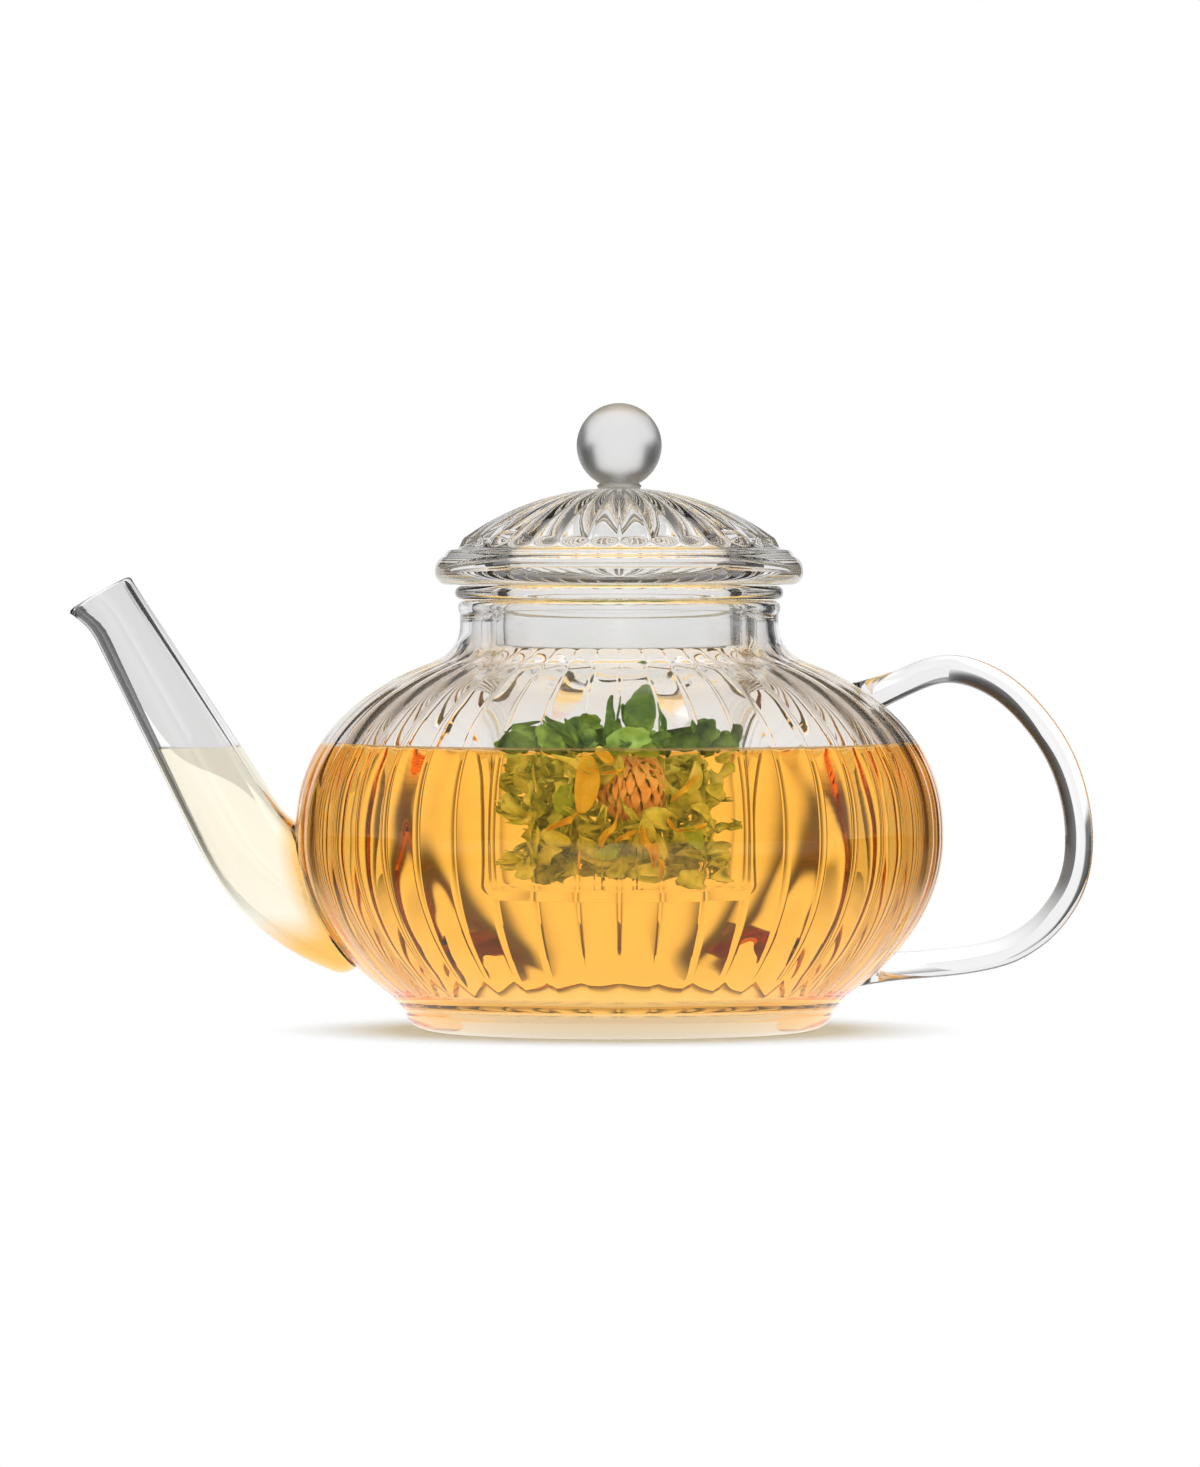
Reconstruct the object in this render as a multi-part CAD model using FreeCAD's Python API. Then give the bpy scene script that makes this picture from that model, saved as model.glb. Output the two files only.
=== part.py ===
import FreeCAD, Part
import math
import os

from FreeCAD import Vector

# Glass teapot in millimetres, +Z up. The origin is the centre of the foot on the table.
# The spout points along -X and the handle along +X.

# Pot body: ribbed blown glass
BELLY_RADIUS = 76.3
BELLY_MID_Z = 45.4
BELLY_LOWER_RISE = 52.2
BELLY_UPPER_RISE = 47.5
SHOULDER_POWER = 2.3
FOOT_STEP = 3.7
FOOT_ROUND = 7.4
FOOT_EDGE_Z = 4.6
FOOT_WAIST = 4.0
BASE_THICKNESS = 4.0
BASE_CORNER = 3.0
BODY_WALL = 2.2
NECK_RADIUS = 37.4
NECK_FILLET = 9.5
NECK_TOP_Z = 101.0
NECK_BEAD = 0.5
NECK_BEAD_HEIGHT = 3.4
RIB_COUNT = 48
RIB_DEPTH = 0.4
LOWER_STATIONS = 8
UPPER_STATIONS = 11
NECK_STATIONS = 5

# Spout: a tapering tube that bends into the belly
SPOUT_REACH = 44.4
SPOUT_MOUTH_Z = 102.6
SPOUT_LEAN = 29.8
SPOUT_STRAIGHT = 63.6
SPOUT_BEND_RADIUS = 45.0
SPOUT_BEND_ANGLE = 47.0
SPOUT_MOUTH_RADIUS = 6.9
SPOUT_BEND_TUBE_RADIUS = 10.9
SPOUT_ROOT_RADIUS = 13.6
SPOUT_WALL = 1.8
SPOUT_LIP_REACH = 1.4
SPOUT_LIP_LENGTH = 3.5

# Handle: one bent rod, with its corners counted back from the outer side
HANDLE_ROD_RADIUS = 3.3
HANDLE_ROOT_RADIUS = 4.4
HANDLE_GATHER = 12.0
HANDLE_REACH = 31.7
HANDLE_TOP_Z = 84.8
HANDLE_LOW_Z = 15.8
UPPER_ROOT_BACK = 52.0
UPPER_ROOT_DROP = 7.4
CREST_BACK = 29.5
CREST_RISE = 2.6
CREST_BEND = 17.0
SHOULDER_BACK = 11.5
SHOULDER_DROP = 7.0
SHOULDER_BEND = 24.0
SIDE_OUT = 0.9
SIDE_DROP = 34.0
SIDE_BEND = 44.0
ELBOW_OUT = 0.1
ELBOW_RISE = 13.5
ELBOW_BEND = 21.0
HEEL_BACK = 13.0
HEEL_RISE = 2.0
HEEL_BEND = 30.0
LOWER_ROOT_BACK = 54.0
LOWER_ROOT_DROP = 1.3
FUSE_DEPTH = 1.0

# Infuser: a glass cup with slits, hung in the neck by its flange
INFUSER_CLEARANCE = 2.3
INFUSER_WALL = 2.2
INFUSER_CORNER = 3.0
INFUSER_BOTTOM_Z = 31.3
FLANGE_OVERHANG = 1.2
FLANGE_THICKNESS = 3.2
SLIT_WIDTH = 1.2
SLIT_LENGTH = 9.5
SLIT_PITCH = 4.9
SLIT_GROUPS = 4
SLITS_PER_GROUP = 3
SLIT_CLEAR_OF_FLOOR = 0.8
SEAT_GAP = 0.2

# Lid: a pressed dome with petals, a skirt that drops into the infuser, a ball knob
LID_OVERHANG = 4.7
LID_RIM_HEIGHT = 7.4
LID_RIM_ROUND = 1.3
LID_LEDGE = 1.0
LID_LEDGE_RISE = 2.2
LID_STEP = 3.1
LID_DOME_RISE = 13.0
LID_CROWN_MARGIN = 0.8
LID_WALL = 4.2
LID_HOLLOW_SIDE = 5.0
PETAL_COUNT = 32
PETAL_DEPTH = 0.9
SKIRT_CLEARANCE = 1.4
SKIRT_WALL = 2.1
SKIRT_DEPTH = 16.0
KNOB_RADIUS = 10.0
KNOB_COLLAR_RADIUS = 5.2
KNOB_COLLAR_HEIGHT = 1.6

# Heights and radii that follow from the ones above
FOOT_WAIST_Z = FOOT_EDGE_Z + FOOT_WAIST
FOOT_WAIST_SINE = (BELLY_MID_Z - FOOT_WAIST_Z) / BELLY_LOWER_RISE
FOOT_EDGE_RADIUS = BELLY_RADIUS * math.cos(math.asin(FOOT_WAIST_SINE)) - FOOT_STEP
FOOT_FLAT_RADIUS = FOOT_EDGE_RADIUS - FOOT_ROUND
SPOUT_MOUTH_X = -(BELLY_RADIUS + SPOUT_REACH)
HANDLE_OUT_X = BELLY_RADIUS + HANDLE_REACH
INNER_INSET = RIB_DEPTH + BODY_WALL
INFUSER_RADIUS = NECK_RADIUS - INNER_INSET - INFUSER_CLEARANCE
FLANGE_RADIUS = NECK_RADIUS + FLANGE_OVERHANG
LID_RIM_RADIUS = FLANGE_RADIUS + LID_OVERHANG
LID_DOME_EDGE_RADIUS = LID_RIM_RADIUS - LID_STEP
LID_CROWN_RADIUS = KNOB_COLLAR_RADIUS + LID_CROWN_MARGIN
FLANGE_Z = NECK_TOP_Z + SEAT_GAP
FLANGE_TOP_Z = FLANGE_Z + FLANGE_THICKNESS
LID_Z = FLANGE_TOP_Z + SEAT_GAP
LID_DOME_Z = LID_Z + LID_RIM_HEIGHT + LID_LEDGE_RISE
LID_TOP_Z = LID_DOME_Z + LID_DOME_RISE
SKIRT_RADIUS = INFUSER_RADIUS - INFUSER_WALL - SKIRT_CLEARANCE

AXIS = Vector(0, 0, 1)
ORIGIN = Vector(0, 0, 0)


def meridian(radius, z):
    """A point of an outline, drawn in the XZ plane."""
    return Vector(radius, 0, z)


def revolve(edges):
    """Turn a closed outline in the XZ plane into a solid of revolution."""
    face = Part.Face(Part.Wire(edges))
    return face.revolve(ORIGIN, AXIS, 360)


def polyline(points):
    """Straight edges from point to point."""
    edges = []
    for start, end in zip(points[:-1], points[1:]):
        edges.append(Part.makeLine(start, end))
    return edges


def lower_belly(angle, inset):
    """Radius and height on the lower belly, an ellipse."""
    radius = (BELLY_RADIUS - inset) * math.cos(angle)
    return radius, BELLY_MID_Z - (BELLY_LOWER_RISE - inset) * math.sin(angle)


def upper_belly(angle, inset):
    """Radius and height on the shoulder, a fuller ellipse."""
    power = 2.0 / SHOULDER_POWER
    radius = (BELLY_RADIUS - inset) * math.cos(angle) ** power
    return radius, BELLY_MID_Z + (BELLY_UPPER_RISE - inset) * math.sin(angle) ** power


def shoulder_normal(angle, inset):
    """Outward direction of the shoulder outline."""
    before = upper_belly(angle - 0.001, inset)
    after = upper_belly(angle + 0.001, inset)
    along_r = after[0] - before[0]
    along_z = after[1] - before[1]
    length = math.hypot(along_r, along_z)
    return along_z / length, -along_r / length


def neck_fillet(inset):
    """Where the hollow curve of the neck leaves the shoulder, with its centre and radius."""
    bend = NECK_FILLET + inset
    centre_r = NECK_RADIUS - inset + bend
    low = 0.3
    high = 1.5
    for _ in range(60):
        angle = 0.5 * (low + high)
        radius = upper_belly(angle, inset)[0]
        if radius + bend * shoulder_normal(angle, inset)[0] > centre_r:
            low = angle
        else:
            high = angle
    start = upper_belly(angle, inset)
    normal = shoulder_normal(angle, inset)
    centre_z = start[1] + bend * normal[1]
    turn = math.atan2(normal[1], normal[0])
    return angle, centre_r, centre_z, bend, turn


def belly_outline(inset, lowest_z):
    """Radii and heights from the lower belly up to the straight neck."""
    sine = (BELLY_MID_Z - lowest_z) / (BELLY_LOWER_RISE - inset)
    first = math.asin(sine)
    points = []
    for step in range(LOWER_STATIONS):
        points.append(lower_belly(first * (1 - step / LOWER_STATIONS), inset))
    end, centre_r, centre_z, bend, turn = neck_fillet(inset)
    for step in range(UPPER_STATIONS):
        points.append(upper_belly(end * step / UPPER_STATIONS, inset))
    for step in range(NECK_STATIONS + 1):
        angle = turn * (1 - step / NECK_STATIONS)
        points.append((centre_r - bend * math.cos(angle), centre_z - bend * math.sin(angle)))
    return points


def fluted_wire(crest, valley, count):
    """A closed ring of arcs, each bulging from valley to crest to valley."""
    edges = []
    step = 2 * math.pi / count
    for index in range(count):
        corners = []
        for part, (radius, z) in ((0, valley), (0.5, crest), (1, valley)):
            angle = (index + part) * step
            corners.append(Vector(radius * math.cos(angle), radius * math.sin(angle), z))
        edges.append(Part.Arc(corners[0], corners[1], corners[2]).toShape())
    return Part.Wire(edges)


def belly_core(inset, floor_z):
    """Plain solid of revolution inside the belly, open to above the neck."""
    outline = belly_outline(inset, floor_z + BASE_CORNER)
    points = [meridian(radius, z) for radius, z in outline]
    side = points[0].x
    top_z = NECK_TOP_Z + FLANGE_THICKNESS
    low_corner = meridian(side - 1.3 * BASE_CORNER, floor_z)
    bend = meridian(side - 0.4 * BASE_CORNER, floor_z + 0.3 * BASE_CORNER)
    edges = polyline(points)
    edges += polyline([
        points[-1],
        meridian(points[-1].x, top_z),
        meridian(0, top_z),
        meridian(0, floor_z),
        low_corner,
    ])
    edges.append(Part.Arc(low_corner, bend, points[0]).toShape())
    return revolve(edges)


def body_skins():
    """Outer shape of the pot as two solids, ribbed on the belly and plain at foot and neck.

    The one blown shell is divided one station above its widest ring, clear of the spout, into
    a bowl and a shoulder.
    """
    outline = belly_outline(0.0, FOOT_WAIST_Z)
    rings = []
    for degrees in (90, 75, 50, 25, 0):
        angle = math.radians(degrees)
        radius = FOOT_FLAT_RADIUS + FOOT_ROUND * math.cos(angle)
        edge = (radius, FOOT_EDGE_Z * (1 - math.sin(angle)))
        rings.append(fluted_wire(edge, edge, RIB_COUNT))
    last = len(outline) - 1
    divide = len(rings) + LOWER_STATIONS + 1
    for index, (radius, z) in enumerate(outline):
        fade = min(1.0, (index + 1) / 4, (last - index) / 4)
        rings.append(fluted_wire((radius, z), (radius - RIB_DEPTH * fade, z), RIB_COUNT))
    for share in (1.0, 0.75, 0.5, 0.25, 0.0):
        bulge = NECK_BEAD * 4 * share * (1 - share)
        bead = (NECK_RADIUS + bulge, NECK_TOP_Z - NECK_BEAD_HEIGHT * share)
        rings.append(fluted_wire(bead, bead, RIB_COUNT))
    bowl = Part.makeLoft(rings[:divide + 1], True, True)
    shoulder = Part.makeLoft(rings[divide:], True, True)
    return bowl, shoulder


def spout_station(travel):
    """Centre and heading of the spout's centre line, travel counted from the mouth."""
    lean = math.radians(SPOUT_LEAN)
    heading = lean - math.pi / 2
    ahead = (math.sin(lean), -math.cos(lean))
    run = min(travel, SPOUT_STRAIGHT)
    x = SPOUT_MOUTH_X + run * ahead[0]
    z = SPOUT_MOUTH_Z + run * ahead[1]
    if travel > SPOUT_STRAIGHT:
        turned = heading + (travel - SPOUT_STRAIGHT) / SPOUT_BEND_RADIUS
        x += SPOUT_BEND_RADIUS * (math.sin(turned) - math.sin(heading))
        z -= SPOUT_BEND_RADIUS * (math.cos(turned) - math.cos(heading))
        heading = turned
    return Vector(x, 0, z), Vector(math.cos(heading), 0, math.sin(heading))


def spout_tube(inset, past_mouth):
    """Solid tube along the spout, thinner by the inset."""
    bend_length = SPOUT_BEND_RADIUS * math.radians(SPOUT_BEND_ANGLE)
    rings = []
    lip = SPOUT_LIP_REACH
    mouth, heading = spout_station(0.0)
    across = Vector(heading.z, 0, -heading.x)
    lip_radius = SPOUT_MOUTH_RADIUS - inset
    if past_mouth > 0:
        out = mouth - heading * past_mouth + across * lip
        rings.append(ellipse_wire(out, heading, across, lip_radius + lip, lip_radius))
    start = mouth + across * lip * 0.8
    rings.append(ellipse_wire(start, heading, across, lip_radius + lip, lip_radius))
    for step in range(5):
        travel = SPOUT_LIP_LENGTH + (SPOUT_STRAIGHT - SPOUT_LIP_LENGTH) * step / 4
        share = travel / SPOUT_STRAIGHT
        radius = SPOUT_MOUTH_RADIUS + (SPOUT_BEND_TUBE_RADIUS - SPOUT_MOUTH_RADIUS) * share
        centre, heading = spout_station(travel)
        across = Vector(heading.z, 0, -heading.x)
        rings.append(ellipse_wire(centre, heading, across, radius - inset, radius - inset))
    for step in range(1, 6):
        share = step / 5
        radius = SPOUT_BEND_TUBE_RADIUS + (SPOUT_ROOT_RADIUS - SPOUT_BEND_TUBE_RADIUS) * share
        centre, heading = spout_station(SPOUT_STRAIGHT + bend_length * share)
        across = Vector(heading.z, 0, -heading.x)
        rings.append(ellipse_wire(centre, heading, across, radius - inset, radius - inset))
    return Part.makeLoft(rings, True, False)


def ellipse_wire(centre, heading, across, reach, half_width):
    """Ring square to the heading: reach along the across direction, half_width along Y."""
    sideways = Vector(0, 1, 0)
    turn = FreeCAD.Matrix(
        across.x, sideways.x, heading.x, centre.x,
        across.y, sideways.y, heading.y, centre.y,
        across.z, sideways.z, heading.z, centre.z,
        0, 0, 0, 1,
    )
    points = []
    for step in range(8):
        angle = step * math.pi / 4
        flat = Vector(reach * math.cos(angle), half_width * math.sin(angle), 0)
        points.append(turn.multVec(flat))
    curve = Part.BSplineCurve()
    curve.interpolate(points, PeriodicFlag=True)
    return Part.Wire([curve.toShape()])


def handle_path():
    """Centre line of the handle: straight runs joined by tangent arcs."""
    top = HANDLE_TOP_Z
    low = HANDLE_LOW_Z
    out = HANDLE_OUT_X
    corners = [
        meridian(out - UPPER_ROOT_BACK, top - UPPER_ROOT_DROP),
        meridian(out - CREST_BACK, top + CREST_RISE),
        meridian(out - SHOULDER_BACK, top - SHOULDER_DROP),
        meridian(out + SIDE_OUT, top - SIDE_DROP),
        meridian(out + ELBOW_OUT, low + ELBOW_RISE),
        meridian(out - HEEL_BACK, low + HEEL_RISE),
        meridian(out - LOWER_ROOT_BACK, low - LOWER_ROOT_DROP),
    ]
    radii = [CREST_BEND, SHOULDER_BEND, SIDE_BEND, ELBOW_BEND, HEEL_BEND]
    edges = []
    start = corners[0]
    for before, corner, after, bend in zip(corners[:-2], corners[1:-1], corners[2:], radii):
        back = (before - corner).normalize()
        ahead = (after - corner).normalize()
        half = 0.5 * math.acos(max(-1.0, min(1.0, back.dot(ahead))))
        room = 0.49 * min((before - corner).Length, (after - corner).Length)
        reach = min(bend / math.tan(half), room)
        bend = reach * math.tan(half)
        first = corner + back * reach
        last = corner + ahead * reach
        centre = corner + (back + ahead).normalize() * (bend / math.sin(half))
        middle = centre + (corner - centre).normalize() * bend
        edges.append(Part.makeLine(start, first))
        edges.append(Part.Arc(first, middle, last).toShape())
        start = last
    edges.append(Part.makeLine(start, corners[-1]))
    return Part.Wire(edges), corners


def handle_solid(core):
    """Bent rod with a thicker gather at each root, ending inside the pot's wall."""
    path, corners = handle_path()
    start = corners[0]
    ahead = (corners[1] - start).normalize()
    ring = Part.makeCircle(HANDLE_ROD_RADIUS, start, ahead)
    rod = path.makePipeShell([Part.Wire([ring])], True, False, 1)
    upper = Part.makeCone(HANDLE_ROOT_RADIUS, HANDLE_ROD_RADIUS, HANDLE_GATHER, start, ahead)
    end = corners[-1]
    back = (corners[-2] - end).normalize()
    lower = Part.makeCone(HANDLE_ROOT_RADIUS, HANDLE_ROD_RADIUS, HANDLE_GATHER, end, back)
    return rod.fuse([upper, lower]).cut(core).removeSplitter()


def infuser_solid():
    """Slitted cup with a round-edged flange."""
    inner = INFUSER_RADIUS - INFUSER_WALL
    floor_z = INFUSER_BOTTOM_Z + INFUSER_WALL
    round_edge = 0.5 * FLANGE_THICKNESS
    tip = FLANGE_RADIUS - round_edge
    corner = INFUSER_CORNER
    bend = corner * (1 - math.sqrt(0.5))
    edges = polyline([
        meridian(0, floor_z),
        meridian(0, INFUSER_BOTTOM_Z),
        meridian(INFUSER_RADIUS - corner, INFUSER_BOTTOM_Z),
    ])
    edges.append(Part.Arc(
        meridian(INFUSER_RADIUS - corner, INFUSER_BOTTOM_Z),
        meridian(INFUSER_RADIUS - bend, INFUSER_BOTTOM_Z + bend),
        meridian(INFUSER_RADIUS, INFUSER_BOTTOM_Z + corner),
    ).toShape())
    edges += polyline([
        meridian(INFUSER_RADIUS, INFUSER_BOTTOM_Z + corner),
        meridian(INFUSER_RADIUS, FLANGE_Z),
        meridian(tip, FLANGE_Z),
    ])
    edges.append(Part.Arc(
        meridian(tip, FLANGE_Z),
        meridian(FLANGE_RADIUS, FLANGE_Z + round_edge),
        meridian(tip, FLANGE_TOP_Z),
    ).toShape())
    edges += polyline([
        meridian(tip, FLANGE_TOP_Z),
        meridian(inner, FLANGE_TOP_Z),
        meridian(inner, floor_z),
        meridian(0, floor_z),
    ])
    cup = revolve(edges)
    slits = []
    for group in range(SLIT_GROUPS):
        for index in range(SLITS_PER_GROUP):
            offset = (index - (SLITS_PER_GROUP - 1) / 2) * SLIT_PITCH / INFUSER_RADIUS
            turn = 360.0 * group / SLIT_GROUPS - 90.0 + math.degrees(offset)
            slit = Part.makeBox(
                4 * INFUSER_WALL,
                SLIT_WIDTH,
                SLIT_LENGTH,
                Vector(inner - 1.5 * INFUSER_WALL, -SLIT_WIDTH / 2, floor_z + SLIT_CLEAR_OF_FLOOR),
            )
            slits.append(slit.rotate(ORIGIN, AXIS, turn))
    return cup.cut(slits)


def dome_height(radius):
    """Height of the lid's dome, a spherical cap between its edge and its flat top."""
    span = LID_DOME_EDGE_RADIUS ** 2 - LID_CROWN_RADIUS ** 2
    centre = (LID_TOP_Z ** 2 - LID_DOME_Z ** 2 - span) / (2 * LID_DOME_RISE)
    ball = math.hypot(LID_CROWN_RADIUS, LID_TOP_Z - centre)
    return centre + math.sqrt(ball ** 2 - radius ** 2)


def lid_dome_solid():
    """Pressed dome: plain rim band, petals running up to the knob, hollow underneath."""
    rings = []
    for share in (0.0, 0.17, 0.4, 0.67):
        inset = LID_RIM_ROUND * (1 - share / 0.4) ** 2
        band = (LID_RIM_RADIUS - inset, LID_Z + LID_RIM_HEIGHT * share)
        rings.append(fluted_wire(band, band, PETAL_COUNT))
    ledge = (LID_DOME_EDGE_RADIUS + LID_LEDGE, LID_Z + LID_RIM_HEIGHT)
    rings.append(fluted_wire(ledge, ledge, PETAL_COUNT))
    edge = (LID_DOME_EDGE_RADIUS, LID_DOME_Z)
    rings.append(fluted_wire(edge, edge, PETAL_COUNT))
    span = LID_DOME_EDGE_RADIUS - LID_CROWN_RADIUS
    for share in (0.06, 0.13, 0.22, 0.35, 0.5, 0.65, 0.8, 0.92):
        radius = LID_DOME_EDGE_RADIUS - span * share
        depth = PETAL_DEPTH * min(1.0, share / 0.13, (1.0 - share) / 0.5)
        z = dome_height(radius)
        rings.append(fluted_wire((radius, z), (radius, z - depth), PETAL_COUNT))
    crown = (LID_CROWN_RADIUS, LID_TOP_Z)
    rings.append(fluted_wire(crown, crown, PETAL_COUNT))
    skin = Part.makeLoft(rings, True, True)
    hollow_radius = SKIRT_RADIUS - SKIRT_WALL
    spring_z = LID_Z + LID_HOLLOW_SIDE
    roof_z = LID_TOP_Z - LID_WALL
    rise = roof_z - spring_z
    ball = (hollow_radius ** 2 + rise ** 2) / (2 * rise)
    half = 0.5 * math.asin(hollow_radius / ball)
    middle = meridian(ball * math.sin(half), roof_z - ball * (1 - math.cos(half)))
    below = LID_Z - LID_WALL
    edges = polyline([
        meridian(0, roof_z),
        meridian(0, below),
        meridian(hollow_radius, below),
        meridian(hollow_radius, spring_z),
    ])
    edges.append(Part.Arc(meridian(hollow_radius, spring_z), middle, meridian(0, roof_z)).toShape())
    hollow = revolve(edges)
    return skin.cut(hollow)


def lid_skirt_solid():
    """Plain ring under the lid with a rounded lower edge."""
    outer = SKIRT_RADIUS
    inner = SKIRT_RADIUS - SKIRT_WALL
    low = LID_Z - SKIRT_DEPTH
    middle = 0.5 * (outer + inner)
    edges = polyline([
        meridian(inner, low + 0.5 * SKIRT_WALL),
        meridian(inner, LID_Z),
        meridian(outer, LID_Z),
        meridian(outer, low + 0.5 * SKIRT_WALL),
    ])
    edges.append(Part.Arc(
        meridian(outer, low + 0.5 * SKIRT_WALL),
        meridian(middle, low),
        meridian(inner, low + 0.5 * SKIRT_WALL),
    ).toShape())
    return revolve(edges)


def knob_solid():
    """Ball on a short collar that stands on the lid's flat top."""
    drop = math.sqrt(KNOB_RADIUS ** 2 - KNOB_COLLAR_RADIUS ** 2)
    centre = LID_TOP_Z + KNOB_COLLAR_HEIGHT + drop
    edges = polyline([
        meridian(0, LID_TOP_Z),
        meridian(KNOB_COLLAR_RADIUS, LID_TOP_Z),
        meridian(KNOB_COLLAR_RADIUS, LID_TOP_Z + KNOB_COLLAR_HEIGHT),
    ])
    edges.append(Part.Arc(
        meridian(KNOB_COLLAR_RADIUS, LID_TOP_Z + KNOB_COLLAR_HEIGHT),
        meridian(KNOB_RADIUS, centre),
        meridian(0, centre + KNOB_RADIUS),
    ).toShape())
    edges.append(Part.makeLine(meridian(0, centre + KNOB_RADIUS), meridian(0, LID_TOP_Z)))
    return revolve(edges)


def main():
    """Build every piece and write one STEP file for each."""
    core = belly_core(INNER_INSET, BASE_THICKNESS)
    fuse_core = belly_core(RIB_DEPTH + FUSE_DEPTH, BASE_THICKNESS - FUSE_DEPTH)
    bore = spout_tube(SPOUT_WALL, SPOUT_LIP_LENGTH)
    bowl, shoulder = body_skins()
    pieces = {
        "pot_bowl": bowl.cut(core).cut(bore),
        "pot_shoulder": shoulder.cut(core),
        "spout": spout_tube(0.0, 0.0).cut(bore).cut(fuse_core),
        "handle": handle_solid(fuse_core),
        "infuser": infuser_solid(),
        "lid_dome": lid_dome_solid(),
        "lid_skirt": lid_skirt_solid(),
        "knob": knob_solid(),
    }
    os.makedirs("parts", exist_ok=True)
    for name, shape in pieces.items():
        solids = shape.Solids
        print(name, shape.isValid(), len(solids), round(shape.Volume, 1), shape.BoundBox)
        solids[0].exportStep("parts/" + name + ".step")


main()
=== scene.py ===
"""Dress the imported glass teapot: clear ribbed glass, brewed tea, leaves and a flower in the infuser."""
import logging
import math
import random
from dataclasses import dataclass, field, replace
from enum import Enum
from typing import Any, Callable, Sequence

import bpy
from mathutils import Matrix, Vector


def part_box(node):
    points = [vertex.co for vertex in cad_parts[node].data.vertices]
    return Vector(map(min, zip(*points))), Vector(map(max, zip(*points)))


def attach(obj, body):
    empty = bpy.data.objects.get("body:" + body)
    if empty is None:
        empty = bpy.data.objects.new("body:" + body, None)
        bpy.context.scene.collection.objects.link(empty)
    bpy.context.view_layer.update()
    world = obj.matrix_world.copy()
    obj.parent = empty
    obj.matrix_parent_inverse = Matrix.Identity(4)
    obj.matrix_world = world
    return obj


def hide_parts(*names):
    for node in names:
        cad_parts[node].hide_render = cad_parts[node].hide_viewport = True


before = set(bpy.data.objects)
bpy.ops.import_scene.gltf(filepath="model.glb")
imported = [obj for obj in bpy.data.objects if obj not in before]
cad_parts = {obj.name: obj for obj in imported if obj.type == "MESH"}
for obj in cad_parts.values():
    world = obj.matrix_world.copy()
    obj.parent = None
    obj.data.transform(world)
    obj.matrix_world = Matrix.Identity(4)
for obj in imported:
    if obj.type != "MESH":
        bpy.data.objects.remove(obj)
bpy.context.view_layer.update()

LOG = logging.getLogger("teapot")
MM = 0.001
ORIGIN = (0.0, 0.0, 0.0)
WHITE = (1.0, 1.0, 1.0, 1.0)
WELD = 0.002 * MM
FUSED_GAP = 0.02 * MM
BORE_LEAD = 3.0 * MM
SMOOTH_ANGLE = math.radians(40)

Point2 = tuple[float, float]
Point3 = tuple[float, float, float]
Colour = tuple[float, float, float]


class Body(Enum):
    """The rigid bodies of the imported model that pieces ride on."""

    POT = "pot"
    INFUSER = "infuser"
    LID = "lid"


class Slot(Enum):
    """Material slots of the record."""

    POT = "pot_glass"
    INFUSER = "infuser_glass"
    LID = "lid_glass"


class Value:
    """A shader socket that takes part in Python expressions."""

    def __init__(self, shader: "Shader", socket: bpy.types.NodeSocket) -> None:
        """Wrap one output socket of a shader."""
        self.shader = shader
        self.socket = socket

    def _math(self, operation: str, first: Any, second: Any) -> "Value":
        """Add one Math node.

        Args:
            operation: The Math node's operation.
            first: Its first value or link.
            second: Its second value or link.

        Returns:
            The node's result.
        """
        return self.shader.node("ShaderNodeMath", {"operation": operation}, {0: first, 1: second}).out()

    def __add__(self, other: Any) -> "Value":
        """Sum."""
        return self._math("ADD", self, other)

    __radd__ = __add__

    def __sub__(self, other: Any) -> "Value":
        """Difference."""
        return self._math("SUBTRACT", self, other)

    def __rsub__(self, other: Any) -> "Value":
        """Reflected difference."""
        return self._math("SUBTRACT", other, self)

    def __mul__(self, other: Any) -> "Value":
        """Product."""
        return self._math("MULTIPLY", self, other)

    __rmul__ = __mul__

    def __truediv__(self, other: Any) -> "Value":
        """Quotient."""
        return self._math("DIVIDE", self, other)

    def __rtruediv__(self, other: Any) -> "Value":
        """Reflected quotient."""
        return self._math("DIVIDE", other, self)

    def __pow__(self, other: Any) -> "Value":
        """Power."""
        return self._math("POWER", self, other)

    def most(self, other: Any) -> "Value":
        """The larger of two values."""
        return self._math("MAXIMUM", self, other)

    def least(self, other: Any) -> "Value":
        """The smaller of two values."""
        return self._math("MINIMUM", self, other)

    def above(self, other: Any) -> "Value":
        """One where this value is the larger, otherwise zero."""
        return self._math("GREATER_THAN", self, other)

    def clamp(self) -> "Value":
        """The value, kept between 0 and 1."""
        return self.most(0.0).least(1.0)

    def bell(self, width: float) -> "Value":
        """A bell curve of the value: 1 at zero, 0.37 at the width."""
        return self._math("EXPONENT", self * self * (-1.0 / width ** 2), 0.0)


class Placed:
    """A node that has been added to a shader."""

    def __init__(self, shader: "Shader", node: bpy.types.Node) -> None:
        """Keep the node with its shader."""
        self.shader = shader
        self.node = node

    def out(self, name: str | int = 0) -> Value:
        """One output of the node as a value."""
        return Value(self.shader, self.node.outputs[name])


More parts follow.
